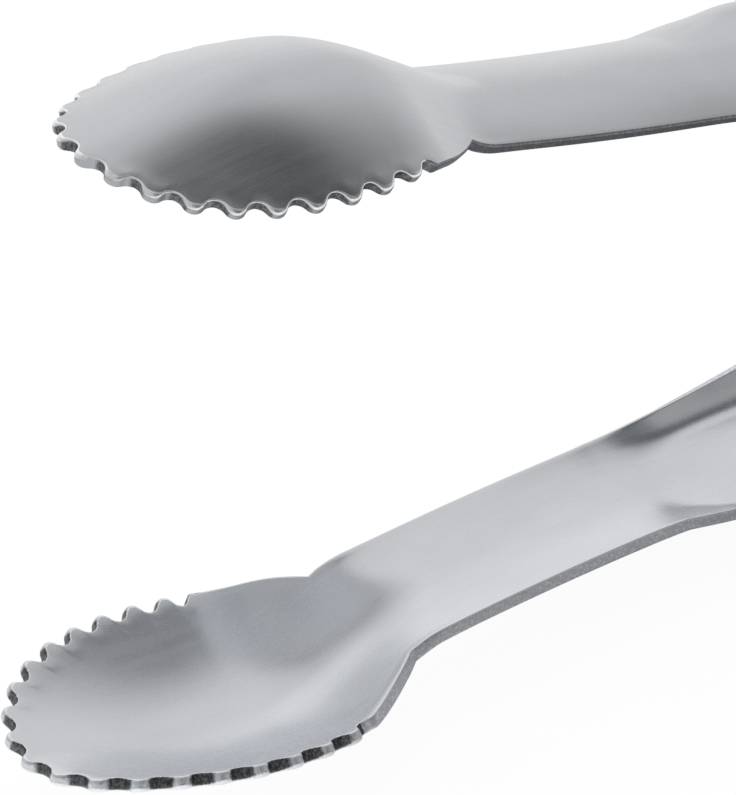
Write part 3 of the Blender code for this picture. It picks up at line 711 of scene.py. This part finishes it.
def arm_half(ear_half_width, ear_depth, sizes, pitch_share):
    """Half of an arm's sheet as points, UVs and faces, with a rounded rim between its two sides.

    Outside and inside lie half a sheet either side of the middle surface, a little more at the
    bowl's upset rim. The rim's section at each point of the outline is a quarter circle, a straight
    cut and a second quarter circle, and their radius grows from the gaps to the tips."""
    q = np.append(np.linspace(0.0, swell_start, 25), (8.4, edge_row))
    _, whole = rim_by_length(0.0)
    toothed = sizes.tooth_pitch * (gaps_per_side - 0.5)
    lengths = np.linspace(0.0, toothed, int((gaps_per_side - 0.5) * sizes.steps_per_tooth) + 1)
    lengths = np.concatenate([lengths, np.linspace(toothed, whole, rear_edge_steps)[1:]])
    toothed = toothed * pitch_share
    bowl = bowl_grid(lengths, q, sizes, pitch_share)
    stations = (notch_radius, neck_length, neck_length + shoulder_length, reach - joggle_start,
                reach + arm_end + overrun / 2)
    spans = [np.linspace(start, end, steps)[1:]
             for start, end, steps in zip(stations, stations[1:], handle_steps)]
    x = np.concatenate([stations[:1], *spans]) - reach
    handle = handle_grid(x, q, ear_half_width, ear_depth, sizes.sheet)
    middle = np.concatenate([bowl, handle])
    normals = np.concatenate([height_normals(bowl), grid_normals(handle)])
    plain = middle[:, 0, 0] + reach <= neck_length + 1e-6
    normals[plain] = height_normals(middle[plain])
    kink = np.flatnonzero(np.abs(middle[:, 0, 0] + reach - neck_length) < kink_round)
    spread = np.exp(-((middle[kink, None, 0, 0] - middle[None, :, 0, 0]) / kink_round) ** 2)
    normals[kink] = np.einsum("ij,jkl->ikl", spread, normals)
    normals[:, 0, 1] = 0.0
    normals /= np.linalg.norm(normals, axis=-1, keepdims=True)

    rim = middle[:, -1]
    rim_normal = normals[:, -1]
    tangent = np.gradient(rim, axis=0)
    tangent[0] = (0.0, 1.0, 0.0)
    outward = np.cross(tangent, rim_normal)
    outward /= np.linalg.norm(outward, axis=-1, keepdims=True)
    inwards = np.sum(outward * (rim - middle[:, -3]), axis=-1, keepdims=True) < 0.0
    outward = np.where(inwards, -outward, outward)

    _, _, wave = outline_offset(lengths, sizes, pitch_share)
    wave = np.where(lengths > toothed, plain_edge_wave, wave)
    wave = np.append(wave, np.full(len(rim) - len(wave), plain_edge_wave))[:, None]
    least, gain = outer_corner_shares
    outer_corner = sizes.edge_round * (least + gain * wave ** outer_corner_power)
    least, gain = inner_corner_shares
    inner_corner = sizes.edge_round * (least + gain * wave)
    in_bowl = 1.0 - smooth((middle[..., 0] + reach) / neck_width(0.0))
    half = sizes.sheet / 2 * (1.0 + rim_swell * in_bowl * smooth(q - swell_start)[None, :])
    rim_half = half[:, -1:]
    bow, rise = 1.0 - np.sin(np.radians(corner_turns)), 1.0 - np.cos(np.radians(corner_turns))
    flat = np.zeros((len(rim), 2))
    inset = np.concatenate([outer_corner * bow, flat, inner_corner * bow[::-1]], axis=1)
    lift = np.concatenate([rim_half - outer_corner * rise, rim_half / 4.0, -rim_half / 4.0,
                           inner_corner * rise[::-1] - rim_half], axis=1)
    bead = rim[:, None] - outward[:, None] * inset[..., None] + rim_normal[:, None] * lift[..., None]
    outside = middle + normals * half[..., None]
    inside = middle - normals * half[..., None]
    outside[:, -1] = bead[:, 0]
    inside[:, -1] = bead[:, -1]

    steps = np.linalg.norm(np.diff(middle, axis=1), axis=-1)
    across = np.concatenate([np.zeros((len(middle), 1)), np.cumsum(steps, axis=1)], axis=1)
    bent = smooth((middle[..., 0] + reach) / neck_length)
    across = middle[..., 1] * (1.0 - bent) + across * bent
    sheet_uv = np.stack([middle[..., 0], across], axis=-1)
    bead_uv = np.stack([np.repeat(rim[:, :1], bead.shape[1], axis=1), across[:, -1:] + lift], axis=-1)

    turns = np.minimum(np.append(lengths, np.full(len(rim) - len(lengths), whole)), toothed)
    turns = turns / (sizes.tooth_pitch * pitch_share)
    round_rim = np.linspace(0.0, 1.0, bead.shape[1])
    rim_uv = np.stack(np.broadcast_arrays(turns[:, None], round_rim[None, :]), axis=-1)
    no_rim = np.zeros((2 * middle.shape[0] * middle.shape[1], 2))

    points = np.concatenate([outside.reshape(-1, 3), inside.reshape(-1, 3), bead.reshape(-1, 3)])
    uvs = np.concatenate([sheet_uv.reshape(-1, 2), sheet_uv.reshape(-1, 2), bead_uv.reshape(-1, 2)])
    uvs = np.concatenate([uvs, np.concatenate([no_rim, rim_uv.reshape(-1, 2)])], axis=-1)
    rows, columns = middle.shape[:2]
    outer = grid_faces(rows, columns)[:, ::-1]
    inner = grid_faces(rows, columns, rows * columns)
    strip = grid_faces(rows, bead.shape[1], 2 * rows * columns)[:, ::-1]
    last = np.arange((rows - 1) * columns, rows * columns)
    end = np.stack([last[:-1], last[1:], last[1:] + rows * columns, last[:-1] + rows * columns], axis=-1)
    end_bead = np.arange(len(points) - bead.shape[1], len(points))
    cut_faces = np.zeros(len(outer) + len(inner) + len(strip) + len(end), int)
    strip_column = np.arange(bead.shape[1] - 1)[None, :]
    kind = np.where(lengths[1:] > toothed, 1, 2)
    kind = np.append(kind, np.ones(rows - 1 - len(kind), int))[:, None]
    strip_kind = np.where((kind == 2) | (strip_column <= last_sheared_column), kind, 0)
    cut_faces[len(outer) + len(inner):-len(end)] = strip_kind.ravel()
    faces = [tuple(face) for face in np.concatenate([outer, inner, strip, end]).tolist()]
    return points, uvs, faces + [tuple(end_bead.tolist())], np.append(cut_faces, 1)


def as_photographed(points, flattening):
    """The bowls as photographed: dx = side slant * y less the tips' further reach, dy = tip slant * x.
    The neck's crown is lowered by the flattening times 1 - s^2, with s the share across."""
    along = points[:, 0] + reach
    past = np.minimum(along, 0.0)
    x = points[:, 0] + side_slant * points[:, 1] * smooth(-past / slant_start)
    x = x - tip_reach * smooth((-past - tip_reach_start) / bowl_front)
    share = np.clip(points[:, 1] / flared_width(along), -1.0, 1.0)
    window = smooth(along / neck_half_width) * smooth((neck_length - along) / neck_half_width + 0.5)
    z = points[:, 2] - np.sign(points[:, 2]) * flattening * (1.0 - share ** 2) * window
    return np.stack([x, points[:, 1] + tip_slant * past, z], axis=-1)


def into_world(points):
    """From the pair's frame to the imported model's: a turn about Y to the pull axis, then the pivot."""
    along = np.array(pull["axis"], float)
    along /= np.linalg.norm(along)
    turn = np.array([along, (0.0, 1.0, 0.0), (-along[2], 0.0, along[0])])
    return np.asarray(points) @ turn + np.array(hinge["pos_m"], float)


def new_mesh_object(name, points, faces, uvs=None):
    """Object at the origin with this mesh and a UV map for each two columns of uvs."""
    mesh = bpy.data.meshes.new(name)
    mesh.from_pydata(np.asarray(points).tolist(), [], [tuple(face) for face in faces])
    if uvs is not None:
        corners = np.zeros(len(mesh.loops), int)
        mesh.loops.foreach_get("vertex_index", corners)
        for first, layer_name in zip(range(0, uvs.shape[1], 2), ("sheet", "rim")):
            layer = mesh.uv_layers.new(name=layer_name)
            layer.data.foreach_set("uv", uvs[corners, first:first + 2].astype(np.float32).ravel())
    item = bpy.data.objects.new(name, mesh)
    bpy.context.scene.collection.objects.link(item)
    return item


def weld(item):
    """Merge doubled points and turn every face outwards."""
    bm = bmesh.new()
    bm.from_mesh(item.data)
    bmesh.ops.remove_doubles(bm, verts=bm.verts, dist=weld_distance)
    bmesh.ops.recalc_face_normals(bm, faces=bm.faces)
    bm.to_mesh(item.data)
    bm.free()


def smooth_piece(name, points, uvs=None, creased=True):
    """Welded piece from a grid of points in the pair's frame, shaded smooth, with its creases sharp."""
    faces = grid_faces(*points.shape[:2]).tolist()
    item = new_mesh_object(name, into_world(points.reshape(-1, 3)), faces, uvs)
    weld(item)
    item.data.shade_smooth()
    if creased:
        item.data.set_sharp_from_angle(angle=sharp_angle)
    return item


def arc(centre, radius, start, end, steps):
    """Points on an arc in the XZ plane, angles in degrees from +X towards +Z."""
    angles = np.radians(np.linspace(start, end, steps + 1))
    return np.stack([centre[0] + radius * np.cos(angles), centre[1] + radius * np.sin(angles)], axis=-1)


def prism(name, outline, half_length):
    """Closed solid with an XZ outline, from side to side across Y."""
    outline = np.asarray(outline)
    count = len(outline)
    near = np.stack([outline[:, 0], np.full(count, -half_length), outline[:, 1]], axis=-1)
    far = near * (1.0, -1.0, 1.0)
    index = np.arange(count)
    sides = np.stack([index, np.roll(index, -1), np.roll(index, -1) + count, index + count], axis=-1)
    faces = sides.tolist() + [index.tolist()[::-1], (index + count).tolist()]
    item = new_mesh_object(name, np.concatenate([near, far]), faces)
    weld(item)
    return item


def rear_trim(ear_bottom_radius, ear_depth, sheet):
    """Outline of what is cut off behind the arm's rounded rear end."""
    top = float(back_height(arm_end - rear_corner, sheet)) + sheet / 2
    limit = arm_end + overrun
    upper = arc((arm_end - rear_corner, top - rear_corner), rear_corner, 90, 0, 18)
    lower = arc((arm_end - ear_bottom_radius, -ear_depth + ear_bottom_radius), ear_bottom_radius, 0, -90, 18)
    return np.concatenate([
        [(arm_end - rear_corner, top + overrun)], upper, lower,
        [(arm_end - ear_bottom_radius, -ear_depth - overrun), (limit, -ear_depth - overrun),
         (limit, top + overrun)]])


def hook_opening(ear_depth):
    """Outline of the slot behind the upper arm's pivot, open below ahead of the hook."""
    hole = lock_pin_radius + clearance
    lock_out = lock_in + lock_travel
    floor = -ear_depth - overrun
    down = np.array([math.cos(closing_angle), -math.sin(closing_angle)])
    aside = np.array([math.sin(closing_angle), math.cos(closing_angle)]) * hole
    tip_radius = (hole + hook_root_width) / math.tan(closing_angle / 2.0)
    tip = down * tip_radius + aside
    root = down * (lock_out + hole) + aside
    return np.concatenate([
        arc((lock_in, 0.0), hole, 180, 90, 12), arc((lock_out, 0.0), hole, 90, -90, 24),
        [(tip_radius, -hole), tip, root, (root[0], floor), (0.0, floor)],
        arc((0.0, 0.0), boss_radius, -90, -15, 18)])


def cut_out(item, cutters, cut_material):
    """Cut shapes out of an item, give the cuts their material and drop the cutters."""
    for cutter in cutters:
        cutter.data.materials.append(cut_material)
        modifier = item.modifiers.new(cutter.name, "BOOLEAN")
        modifier.operation = "DIFFERENCE"
        modifier.solver = "EXACT"
        modifier.material_mode = "TRANSFER"
        modifier.object = cutter
    graph = bpy.context.evaluated_depsgraph_get()
    whole = bpy.data.meshes.new_from_object(item.evaluated_get(graph))
    item.modifiers.clear()
    item.data = whole
    for cutter in cutters:
        bpy.data.objects.remove(cutter, do_unlink=True)


def make_arm(name, hooked, sizes, materials):
    """One stamped arm: both halves of the sheet, pierced and trimmed, with tumbled edges."""
    if hooked:
        ear_half_width = handle_half_width - sizes.sheet - clearance
        ear_depth = float(back_height(arm_end, sizes.sheet)) - rear_corner_radius
        bottom = hook_root_width * 2.0
    else:
        ear_half_width = handle_half_width
        ear_depth = boss_radius
        bottom = boss_radius
    points, uvs, faces, is_cut = arm_half(ear_half_width, ear_depth, sizes, 1.0)
    other_share = 1.0 if hooked else far_pitch_share
    mirrored, mirrored_uvs, _, _ = arm_half(ear_half_width, ear_depth, sizes, other_share)
    mirrored = mirrored * (1.0, -1.0, 1.0)
    other = [tuple(index + len(points) for index in reversed(face)) for face in faces]
    mirrored_uvs = mirrored_uvs * (1.0, -1.0, 1.0, 1.0) + (streak_shift, 0.0, 0.0, 0.0)
    item = new_mesh_object(name, np.concatenate([points, mirrored]), faces + other,
                           np.concatenate([uvs, mirrored_uvs]))
    for material in materials:
        item.data.materials.append(material)
    item.data.polygons.foreach_set("material_index", np.concatenate([is_cut, is_cut]).astype(np.int32))
    weld(item)
    width = handle_half_width + overrun
    cutters = [prism(name + "_rear", rear_trim(bottom, ear_depth, sizes.sheet), width),
               prism(name + "_pivot", arc((0.0, 0.0), pivot_radius + clearance, 0, 352.5, 47), width)]
    if hooked:
        cutters.append(prism(name + "_hook", hook_opening(ear_depth), width))
    else:
        hole = lock_pin_radius + clearance
        ends = np.concatenate([arc((lock_in, 0.0), hole, 270, 90, 24),
                               arc((lock_in + lock_travel, 0.0), hole, 90, -90, 24)])
        cutters.append(prism(name + "_slot", ends, width))
    cut_out(item, cutters, materials[1])
    coords = np.zeros(len(item.data.vertices) * 3, np.float32)
    item.data.vertices.foreach_get("co", coords)
    placed = coords.reshape(-1, 3).astype(float)
    if not hooked:
        placed = placed * (1.0, -1.0, -1.0)
    placed = as_photographed(placed, 0.0 if hooked else neck_flattening)
    item.data.vertices.foreach_set("co", into_world(placed).astype(np.float32).ravel())
    item.data.update()
    tumble(item)
    return item


def tumble(item):
    """Round the edges that are sharper than the sharp angle and shade the rest smooth."""
    bevel = item.modifiers.new("Tumbled", "BEVEL")
    bevel.width = tumbled_width
    bevel.segments = 2
    bevel.limit_method = "ANGLE"
    bevel.angle_limit = sharp_angle
    bevel.harden_normals = False
    item.data.shade_smooth()
    item.data.set_sharp_from_angle(angle=sharp_angle)


def lathe(name, radii, heights, sides, centre=(0.0, 0.0)):
    """Surface of revolution about Y: (r cos t, height, r sin t) for each point of the profile."""
    radii, heights = np.asarray(radii)[:, None], np.asarray(heights)[:, None]
    turn = np.linspace(0.0, 2.0 * math.pi, sides + 1)[None, :]
    points = np.stack([centre[0] + radii * np.cos(turn), np.broadcast_to(heights, (len(radii), sides + 1)),
                       centre[1] + radii * np.sin(turn)], axis=-1)
    return smooth_piece(name, points)


def rounded(corners, radius, steps=4):
    """Profile through these corners, each inner one cut by a quarter-like curve of this radius."""
    corners = np.asarray(corners, float)
    profile = [corners[:1]]
    for before, at, after in zip(corners[:-2], corners[1:-1], corners[2:]):
        back, ahead = before - at, after - at
        reach_back = min(radius, np.linalg.norm(back) / 2.0)
        reach_on = min(radius, np.linalg.norm(ahead) / 2.0)
        first = at + back / np.linalg.norm(back) * reach_back
        second = at + ahead / np.linalg.norm(ahead) * reach_on
        share = np.linspace(0.0, 1.0, steps + 1)[:, None]
        profile.append((1 - share) ** 2 * first + 2 * share * (1 - share) * at + share ** 2 * second)
    return np.concatenate(profile + [corners[-1:]])


def spring_path(sheet):
    """Centre line of the spring: a leg, a helix of the turns that join both tangents, a leg."""
    radius = pivot_radius + clearance + wire_radius
    slope = math.atan(pad_slope(sheet))
    depth = float(back_height(-spring_leg_reach, sheet)) - sheet / 2 - clearance - wire_radius
    depth = depth / math.cos(slope) - wire_radius * math.sin(slope)
    far = math.hypot(spring_leg_reach, depth)
    leave = math.atan2(depth, -spring_leg_reach) - math.acos(radius / far)
    sweep = 2.0 * math.pi * spring_turns + 2.0 * leave
    width = (2.0 * wire_radius + coil_gap) * sweep / (2.0 * math.pi)
    share = np.linspace(0.0, 1.0, 40 * spring_turns + 9)
    turn = -leave + sweep * share
    coil = np.stack([radius * np.cos(turn), width * (share - 0.5), radius * np.sin(turn)], axis=-1)
    along = np.linspace(0.0, 1.0, 26)[1:, None]
    lower = coil[0] + ((-spring_leg_reach, -width / 2, -depth) - coil[0]) * along
    upper = coil[-1] + ((-spring_leg_reach, width / 2, depth) - coil[-1]) * along
    return np.concatenate([lower[::-1], coil, upper])


def tube(name, path, radius, sides=16):
    """Round tube along a path: a circle in the plane across the tangent, with domed ends."""
    tangent = np.gradient(path, axis=0)
    tangent /= np.linalg.norm(tangent, axis=-1, keepdims=True)
    side = np.cross(tangent, (0.0, 1.0, 0.0))
    side /= np.linalg.norm(side, axis=-1, keepdims=True)
    other = np.cross(tangent, side)
    dome = np.radians([90.0, 60.0, 30.0])
    ends = [path[:1] - tangent[:1] * radius * wire_dome_share * np.sin(dome)[:, None],
            path[-1:] + tangent[-1:] * radius * wire_dome_share * np.sin(dome[::-1])[:, None]]
    centres = np.concatenate([ends[0], path, ends[1]])
    radii = np.concatenate([radius * np.cos(dome), np.full(len(path), radius), radius * np.cos(dome[::-1])])
    radii[0] = radii[-1] = 0.0
    pad = ((3, 3), (0, 0))
    side, other = np.pad(side, pad, mode="edge"), np.pad(other, pad, mode="edge")
    turn = np.linspace(0.0, 2.0 * math.pi, sides + 1)
    ring = np.cos(turn)[None, :, None] * side[:, None] + np.sin(turn)[None, :, None] * other[:, None]
    return smooth_piece(name, centres[:, None] + ring * radii[:, None, None], creased=False)


def tab_plate(name, sheet, corner):
    """Pull tab round its hanging hole: rays from the hole to a half circle and a straight-sided neck,
    with a rounded section of the sheet carried round them."""
    centre = tab_length - tab_half_width
    front = -(centre - lock_pin_radius - clearance - barrel_wall / 2)
    reach_angle = math.degrees(math.atan2(tab_half_width, front))
    angles = np.radians(np.concatenate([
        np.linspace(-90.0, 90.0, 41), np.linspace(90.0, reach_angle, 14)[1:],
        np.linspace(reach_angle, 360.0 - reach_angle, 17)[1:],
        np.linspace(360.0 - reach_angle, 270.0, 14)[1:]]))
    cosine, sine = np.cos(angles), np.sin(angles)
    with np.errstate(divide="ignore"):
        to_side = np.where(np.abs(sine) > 1e-9, tab_half_width / np.abs(sine), np.inf)
        to_front = np.where(cosine < -1e-9, front / cosine, np.inf)
    outer = np.where(cosine > 0.0, tab_half_width, np.minimum(to_side, to_front))
    turn = np.radians(corner_turns[::-1])
    half = sheet / 2
    inset = corner * (1.0 - np.cos(turn))
    lift = half - corner * (1.0 - np.sin(turn))
    fill = np.linspace(0.0, 1.0, 9)[1:-1]
    inner_edge = hang_hole_radius + np.concatenate([inset, inset[::-1]])
    inner_lift = np.concatenate([lift, -lift[::-1]])
    span = outer[:, None] - hang_hole_radius - 2.0 * corner
    top = hang_hole_radius + corner + span * fill[::-1][None, :]
    bottom = hang_hole_radius + corner + span * fill[None, :]
    outer_edge = outer[:, None] - np.concatenate([inset, inset[::-1]])[None, ::-1]
    inner_edge = np.broadcast_to(inner_edge, (len(angles), len(inner_lift)))
    distance = np.concatenate([inner_edge, bottom, outer_edge, top], axis=1)
    height = np.concatenate([inner_lift, np.full(len(fill), -half), inner_lift[::-1],
                             np.full(len(fill), half)])
    distance = np.concatenate([distance, distance[:, :1]], axis=1)
    height = np.append(height, height[0])
    points = np.stack([lock_in + centre + distance * cosine[:, None], distance * sine[:, None],
                       np.broadcast_to(height, distance.shape)], axis=-1)
    return smooth_piece(name, points, points[..., :2].reshape(-1, 2))


def settings():
    """The scene's sizes and looks of the tongs."""
    scene = bpy.context.scene
    return scene.tongs_arms, scene.tongs_steel, scene.tongs_studio


class TONGS_OT_arms(bpy.types.Operator):
    """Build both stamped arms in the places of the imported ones"""

    bl_idname = "tongs.arms"
    bl_label = "Stamped Arms"

    def execute(self, context):
        sizes, look, _ = settings()
        for name, node, body, hooked, painted_shade_share in (
                ("lower_arm_stamping", "lower_arm", "lower", False, 1.0),
                ("upper_arm_stamping", "upper_arm", "upper", True, look.upper_painted_shade)):
            # Of these, the cut edge's share and the tips' brightness are painted light, and the dark flanks
            # are partly painted shade.
            scratches, painted_edge_light, tip, torn_and_painted_shade_span, grit = arm_looks[body]
            # Painted shade: the upper arm's sheet is the same steel, darkened by the share in the loop's last
            # column.
            colour = tuple(part * painted_shade_share for part in look.steel)
            materials = (brushed_steel("brushed_" + node, colour, look, scratches, scratches),
                         cut_steel("sheared_" + node, look, painted_edge_light),
                         rim_steel("rim_" + node, look, tip, torn_and_painted_shade_span, grit))
            arm = make_arm(name, hooked, sizes, materials)
            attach(arm, body)
            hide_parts(node)
        return {"FINISHED"}


class TONGS_OT_rivet(bpy.types.Operator):
    """Build the pivot rivet with its two domed heads"""

    bl_idname = "tongs.rivet"
    bl_label = "Pivot Rivet"

    def execute(self, context):
        sizes, look, _ = settings()
        outer = handle_half_width + sizes.sheet / 2 + clearance
        turn = np.radians(np.linspace(90.0, rivet_dome_start, 9))
        radii = np.concatenate([[0.0], rivet_head_radius * np.cos(turn)[1:], [rivet_head_radius],
                                [rivet_head_radius - rivet_edge, pivot_radius]])
        dome = rivet_rim_share + (1.0 - rivet_rim_share) * np.sin(turn)[1:]
        heights = np.concatenate([[outer + rivet_head_height], outer + rivet_head_height * dome,
                                  [outer + rivet_edge], [outer, outer]])
        radii = np.concatenate([radii, radii[::-1]])
        heights = np.concatenate([heights, -heights[::-1]])
        rivet = lathe("pivot_rivet_turned", radii, heights, 48)
        rivet.data.materials.append(turned_steel("rivet_steel", tuple(look.steel), 0.24))
        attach(rivet, "lower")
        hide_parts("pivot_rivet")
        return {"FINISHED"}


class TONGS_OT_spring(bpy.types.Operator):
    """Wind the torsion spring round the rivet"""

    bl_idname = "tongs.spring"
    bl_label = "Torsion Spring"

    def execute(self, context):
        sizes, look, _ = settings()
        spring = tube("torsion_spring_wire", spring_path(sizes.sheet), wire_radius)
        spring.data.materials.append(turned_steel("spring_wire_steel", tuple(look.wire), 0.28))
        span = np.array([(-1.0, 0.0, -2.0), (-1.0, 0.0, 2.0)]) * pivot_radius
        low, high = into_world(span)
        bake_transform(spring)
        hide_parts("torsion_spring")
        return {"FINISHED"}


class TONGS_OT_pull_tab(bpy.types.Operator):
    """Build the pull tab and the barrel that holds the lock pin"""

    bl_idname = "tongs.pull_tab"
    bl_label = "Pull Tab"

    def execute(self, context):
        sizes, look, _ = settings()
        steel = brushed_steel("brushed_tab", tuple(look.steel), look, 0.8, 0.6)
        plate = tab_plate("pull_tab_plate", sizes.sheet, sizes.edge_round)
        plate.data.materials.append(steel)
        bore = lock_pin_radius + clearance
        edge = tab_half_width
        profile = rounded([(bore, 0.0), (bore, edge), (bore + barrel_wall, edge), (bore + barrel_wall, -edge),
                           (bore, -edge), (bore, 0.0)], sizes.edge_round)
        barrel = lathe("pull_tab_barrel", profile[:, 0], profile[:, 1], 48, (lock_in, 0.0))
        barrel.data.materials.append(turned_steel("barrel_steel", tuple(look.steel), 0.3))
        for piece in (plate, barrel):
            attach(piece, "lock")
            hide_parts("lock_slide")
        return {"FINISHED"}


class TONGS_OT_lock_pin(bpy.types.Operator):
    """Build the cross pin of the lock"""

    bl_idname = "tongs.lock_pin"
    bl_label = "Lock Pin"

    def execute(self, context):
        sizes, look, _ = settings()
        end = handle_half_width + sizes.sheet / 2 + lock_pin_overhang
        profile = rounded([(0.0, end), (lock_pin_radius, end), (lock_pin_radius, -end), (0.0, -end)],
                          lock_pin_overhang / 2)
        pin = lathe("lock_pin_turned", profile[:, 0], profile[:, 1], 40, (lock_in, 0.0))
        pin.data.materials.append(turned_steel("pin_steel_turned", tuple(look.steel), 0.22))
        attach(pin, "lock")
        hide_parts("lock_pin")
        return {"FINISHED"}


class TONGS_OT_studio(bpy.types.Operator):
    """Set up the floor, the grey room, the dark card, the soft box and the camera"""

    bl_idname = "tongs.studio"
    bl_label = "Studio"

    def execute(self, context):
        _, _, studio = settings()
        scene = context.scene
        scene.view_settings.view_transform = "Standard"
        make_floor(studio)
        make_room(scene, studio)
        make_card()
        lamp = bpy.data.lights.new("soft_box", "AREA")
        lamp.energy = studio.lamp_power
        lamp.size = studio.lamp_size
        box = bpy.data.objects.new("soft_box", lamp)
        box.location = soft_box_place
        box.visible_glossy = False
        box.rotation_euler = Vector(soft_box_place).to_track_quat("Z", "Y").to_euler()
        scene.collection.objects.link(box)
        make_camera(scene)
        return {"FINISHED"}


def make_floor(studio):
    """Pale floor: a disc that the camera sees white, apart from the tongs' soft shadow, and that the
    steel sees pale, with a painted shadow that makes it darker beside the arms."""
    turn = np.linspace(0.0, 2.0 * math.pi, floor_sides, endpoint=False)
    points = np.stack([floor_radius * np.cos(turn), floor_radius * np.sin(turn),
                       np.full(floor_sides, -floor_drop)], axis=-1)
    floor = new_mesh_object("floor", points, [tuple(range(floor_sides))])
    material = bpy.data.materials.new("pale_floor")
    shading = Shading(material)
    rays = shading.node("LightPath")
    glossy = shading.node("LightPath", output=3)
    matt = shading.node("BsdfDiffuse", {}, {"Color": tuple(studio.floor) + (1.0,)})
    spot = shading.node("TexCoord", output=3)
    # Painted shadow: the floor's glow for the steel's reflections is lower near a point beside the arms.
    away = shading.node("VectorMath", {"operation": "DISTANCE"}, {0: spot, 1: floor_shade_middle}, output=1)
    glow = floor_glow + floor_glow_gain * shading.ease(away, *floor_shade_reach)
    strength = floor_camera_glow * rays + glossy * glow
    white = shading.node("Emission", {}, {"Color": (1.0, 1.0, 1.0, 1.0), "Strength": strength})
    share = rays * floor_camera_share + glossy
    surface = shading.node("MixShader", {}, {0: share, 1: matt, 2: white})
    shading.node("OutputMaterial", {}, {"Surface": surface})
    floor.data.materials.append(material)


def compass(azimuth, height):
    """Unit vector towards an azimuth from +X towards +Y and a height, both in degrees."""
    azimuth, height = math.radians(azimuth), math.radians(height)
    return (math.cos(azimuth) * math.cos(height), math.sin(azimuth) * math.cos(height), math.sin(height))


def make_room(scene, studio):
    """Grey room with soft lighter and darker areas: each is a cone about a direction, with its own
    inner and outer half angle and how much it adds."""
    world = bpy.data.worlds.new("studio")
    scene.world = world
    shading = Shading(world)
    direction = shading.node("TexCoord", output=0)
    level = room_base
    for azimuth, height, inner, outer, adds in room_areas:
        facing = shading.node("VectorMath", {"operation": "DOT_PRODUCT"},
                              {0: direction, 1: compass(azimuth, height)}, output=1)
        inside = shading.ease(facing, math.cos(math.radians(outer)), math.cos(math.radians(inner)))
        level = level + inside * (adds * studio.contrast)
    level = level * studio.room_level
    camera = shading.node("LightPath", output=0)
    strength = camera + (1.0 - camera) * level
    background = shading.node("Background", {}, {"Color": (1.0, 1.0, 1.0, 1.0), "Strength": strength})
    shading.node("OutputWorld", {}, {"Surface": background})


def make_card():
    """Dark card over the front of the upper bowl that only reflections show: an ellipse that fades
    from its middle to its edge."""
    facing = np.array(compass(*card_facing))
    side = np.cross((0.0, 0.0, 1.0), facing)
    side /= np.linalg.norm(side)
    up = np.cross(facing, side)
    first = (side * math.cos(card_turn) + up * math.sin(card_turn)) * card_reach[0]
    second = (up * math.cos(card_turn) - side * math.sin(card_turn)) * card_reach[1]
    turn = np.linspace(0.0, 2.0 * math.pi, 65)[None, :, None]
    radius = np.linspace(0.0, 1.0, 9)[:, None, None]
    points = card_middle + radius * (np.cos(turn) * first + np.sin(turn) * second)
    uvs = np.concatenate([radius * np.cos(turn), radius * np.sin(turn)], axis=-1)
    faces = grid_faces(*points.shape[:2]).tolist()
    card = new_mesh_object("dark_card", points.reshape(-1, 3), faces, uvs.reshape(-1, 2))
    material = bpy.data.materials.new("dark_card_cloth")
    shading = Shading(material)
    place = shading.node("UVMap", {"uv_map": "sheet"})
    radial = shading.node("VectorMath", {"operation": "LENGTH"}, {0: place}, output=1)
    clear = card_clear_middle + (1.0 - card_clear_middle) * shading.ease(radial, 0.0, 1.0)
    dark = shading.node("Emission", {}, {"Color": (0.0, 0.0, 0.0, 1.0), "Strength": 0.0})
    open_air = shading.node("BsdfTransparent", {}, {})
    surface = shading.node("MixShader", {}, {0: clear, 1: dark, 2: open_air})
    shading.node("OutputMaterial", {}, {"Surface": surface})
    card.data.materials.append(material)
    card.visible_camera = False
    card.visible_diffuse = False
    card.visible_shadow = False


def make_camera(scene):
    """Camera at the photograph's place: a long lens that looks down on the bowls from ahead."""
    camera = bpy.data.cameras.new("camera")
    camera.sensor_fit = "VERTICAL"
    camera.sensor_height = 36.0
    camera.lens = camera_lens
    camera.clip_start = 0.05
    camera.clip_end = 50.0
    item = bpy.data.objects.new("camera", camera)
    axes = into_world(np.concatenate([camera_turn, [(0.0, 0.0, 0.0)]]))
    axes = axes[:3] - axes[3]
    place = into_world([camera_place])[0]
    columns = np.column_stack([axes.T, place])
    item.matrix_world = Matrix([*columns.tolist(), (0.0, 0.0, 0.0, 1.0)])
    scene.collection.objects.link(item)
    scene.camera = item


class TONGS_PT_panel(bpy.types.Panel):
    """Sizes, looks and steps of the serving tongs"""

    bl_idname = "TONGS_PT_panel"
    bl_label = "Serving Tongs"
    bl_space_type = "VIEW_3D"
    bl_region_type = "UI"
    bl_category = "Tongs"

    def draw(self, context):
        for group in settings():
            box = self.layout.box()
            for name in type(group).__annotations__:
                box.prop(group, name)
        for operator in operators:
            self.layout.operator(operator.bl_idname)


property_groups = (TongsArmSizes, TongsSteelLook, TongsStudioLook)
operators = (TONGS_OT_arms, TONGS_OT_rivet, TONGS_OT_spring, TONGS_OT_pull_tab, TONGS_OT_lock_pin,
             TONGS_OT_studio)


def register():
    for item in (*property_groups, *operators, TONGS_PT_panel):
        bpy.utils.register_class(item)
    bpy.types.Scene.tongs_arms = PointerProperty(type=TongsArmSizes)
    bpy.types.Scene.tongs_steel = PointerProperty(type=TongsSteelLook)
    bpy.types.Scene.tongs_studio = PointerProperty(type=TongsStudioLook)


def unregister():
    del bpy.types.Scene.tongs_arms
    del bpy.types.Scene.tongs_steel
    del bpy.types.Scene.tongs_studio
    for item in (TONGS_PT_panel, *reversed(operators), *reversed(property_groups)):
        bpy.utils.unregister_class(item)


def main():
    register()
    bpy.ops.tongs.arms()
    bpy.ops.tongs.rivet()
    bpy.ops.tongs.spring()
    bpy.ops.tongs.pull_tab()
    bpy.ops.tongs.lock_pin()
    bpy.ops.tongs.studio()


if __name__ == "__main__":
    main()
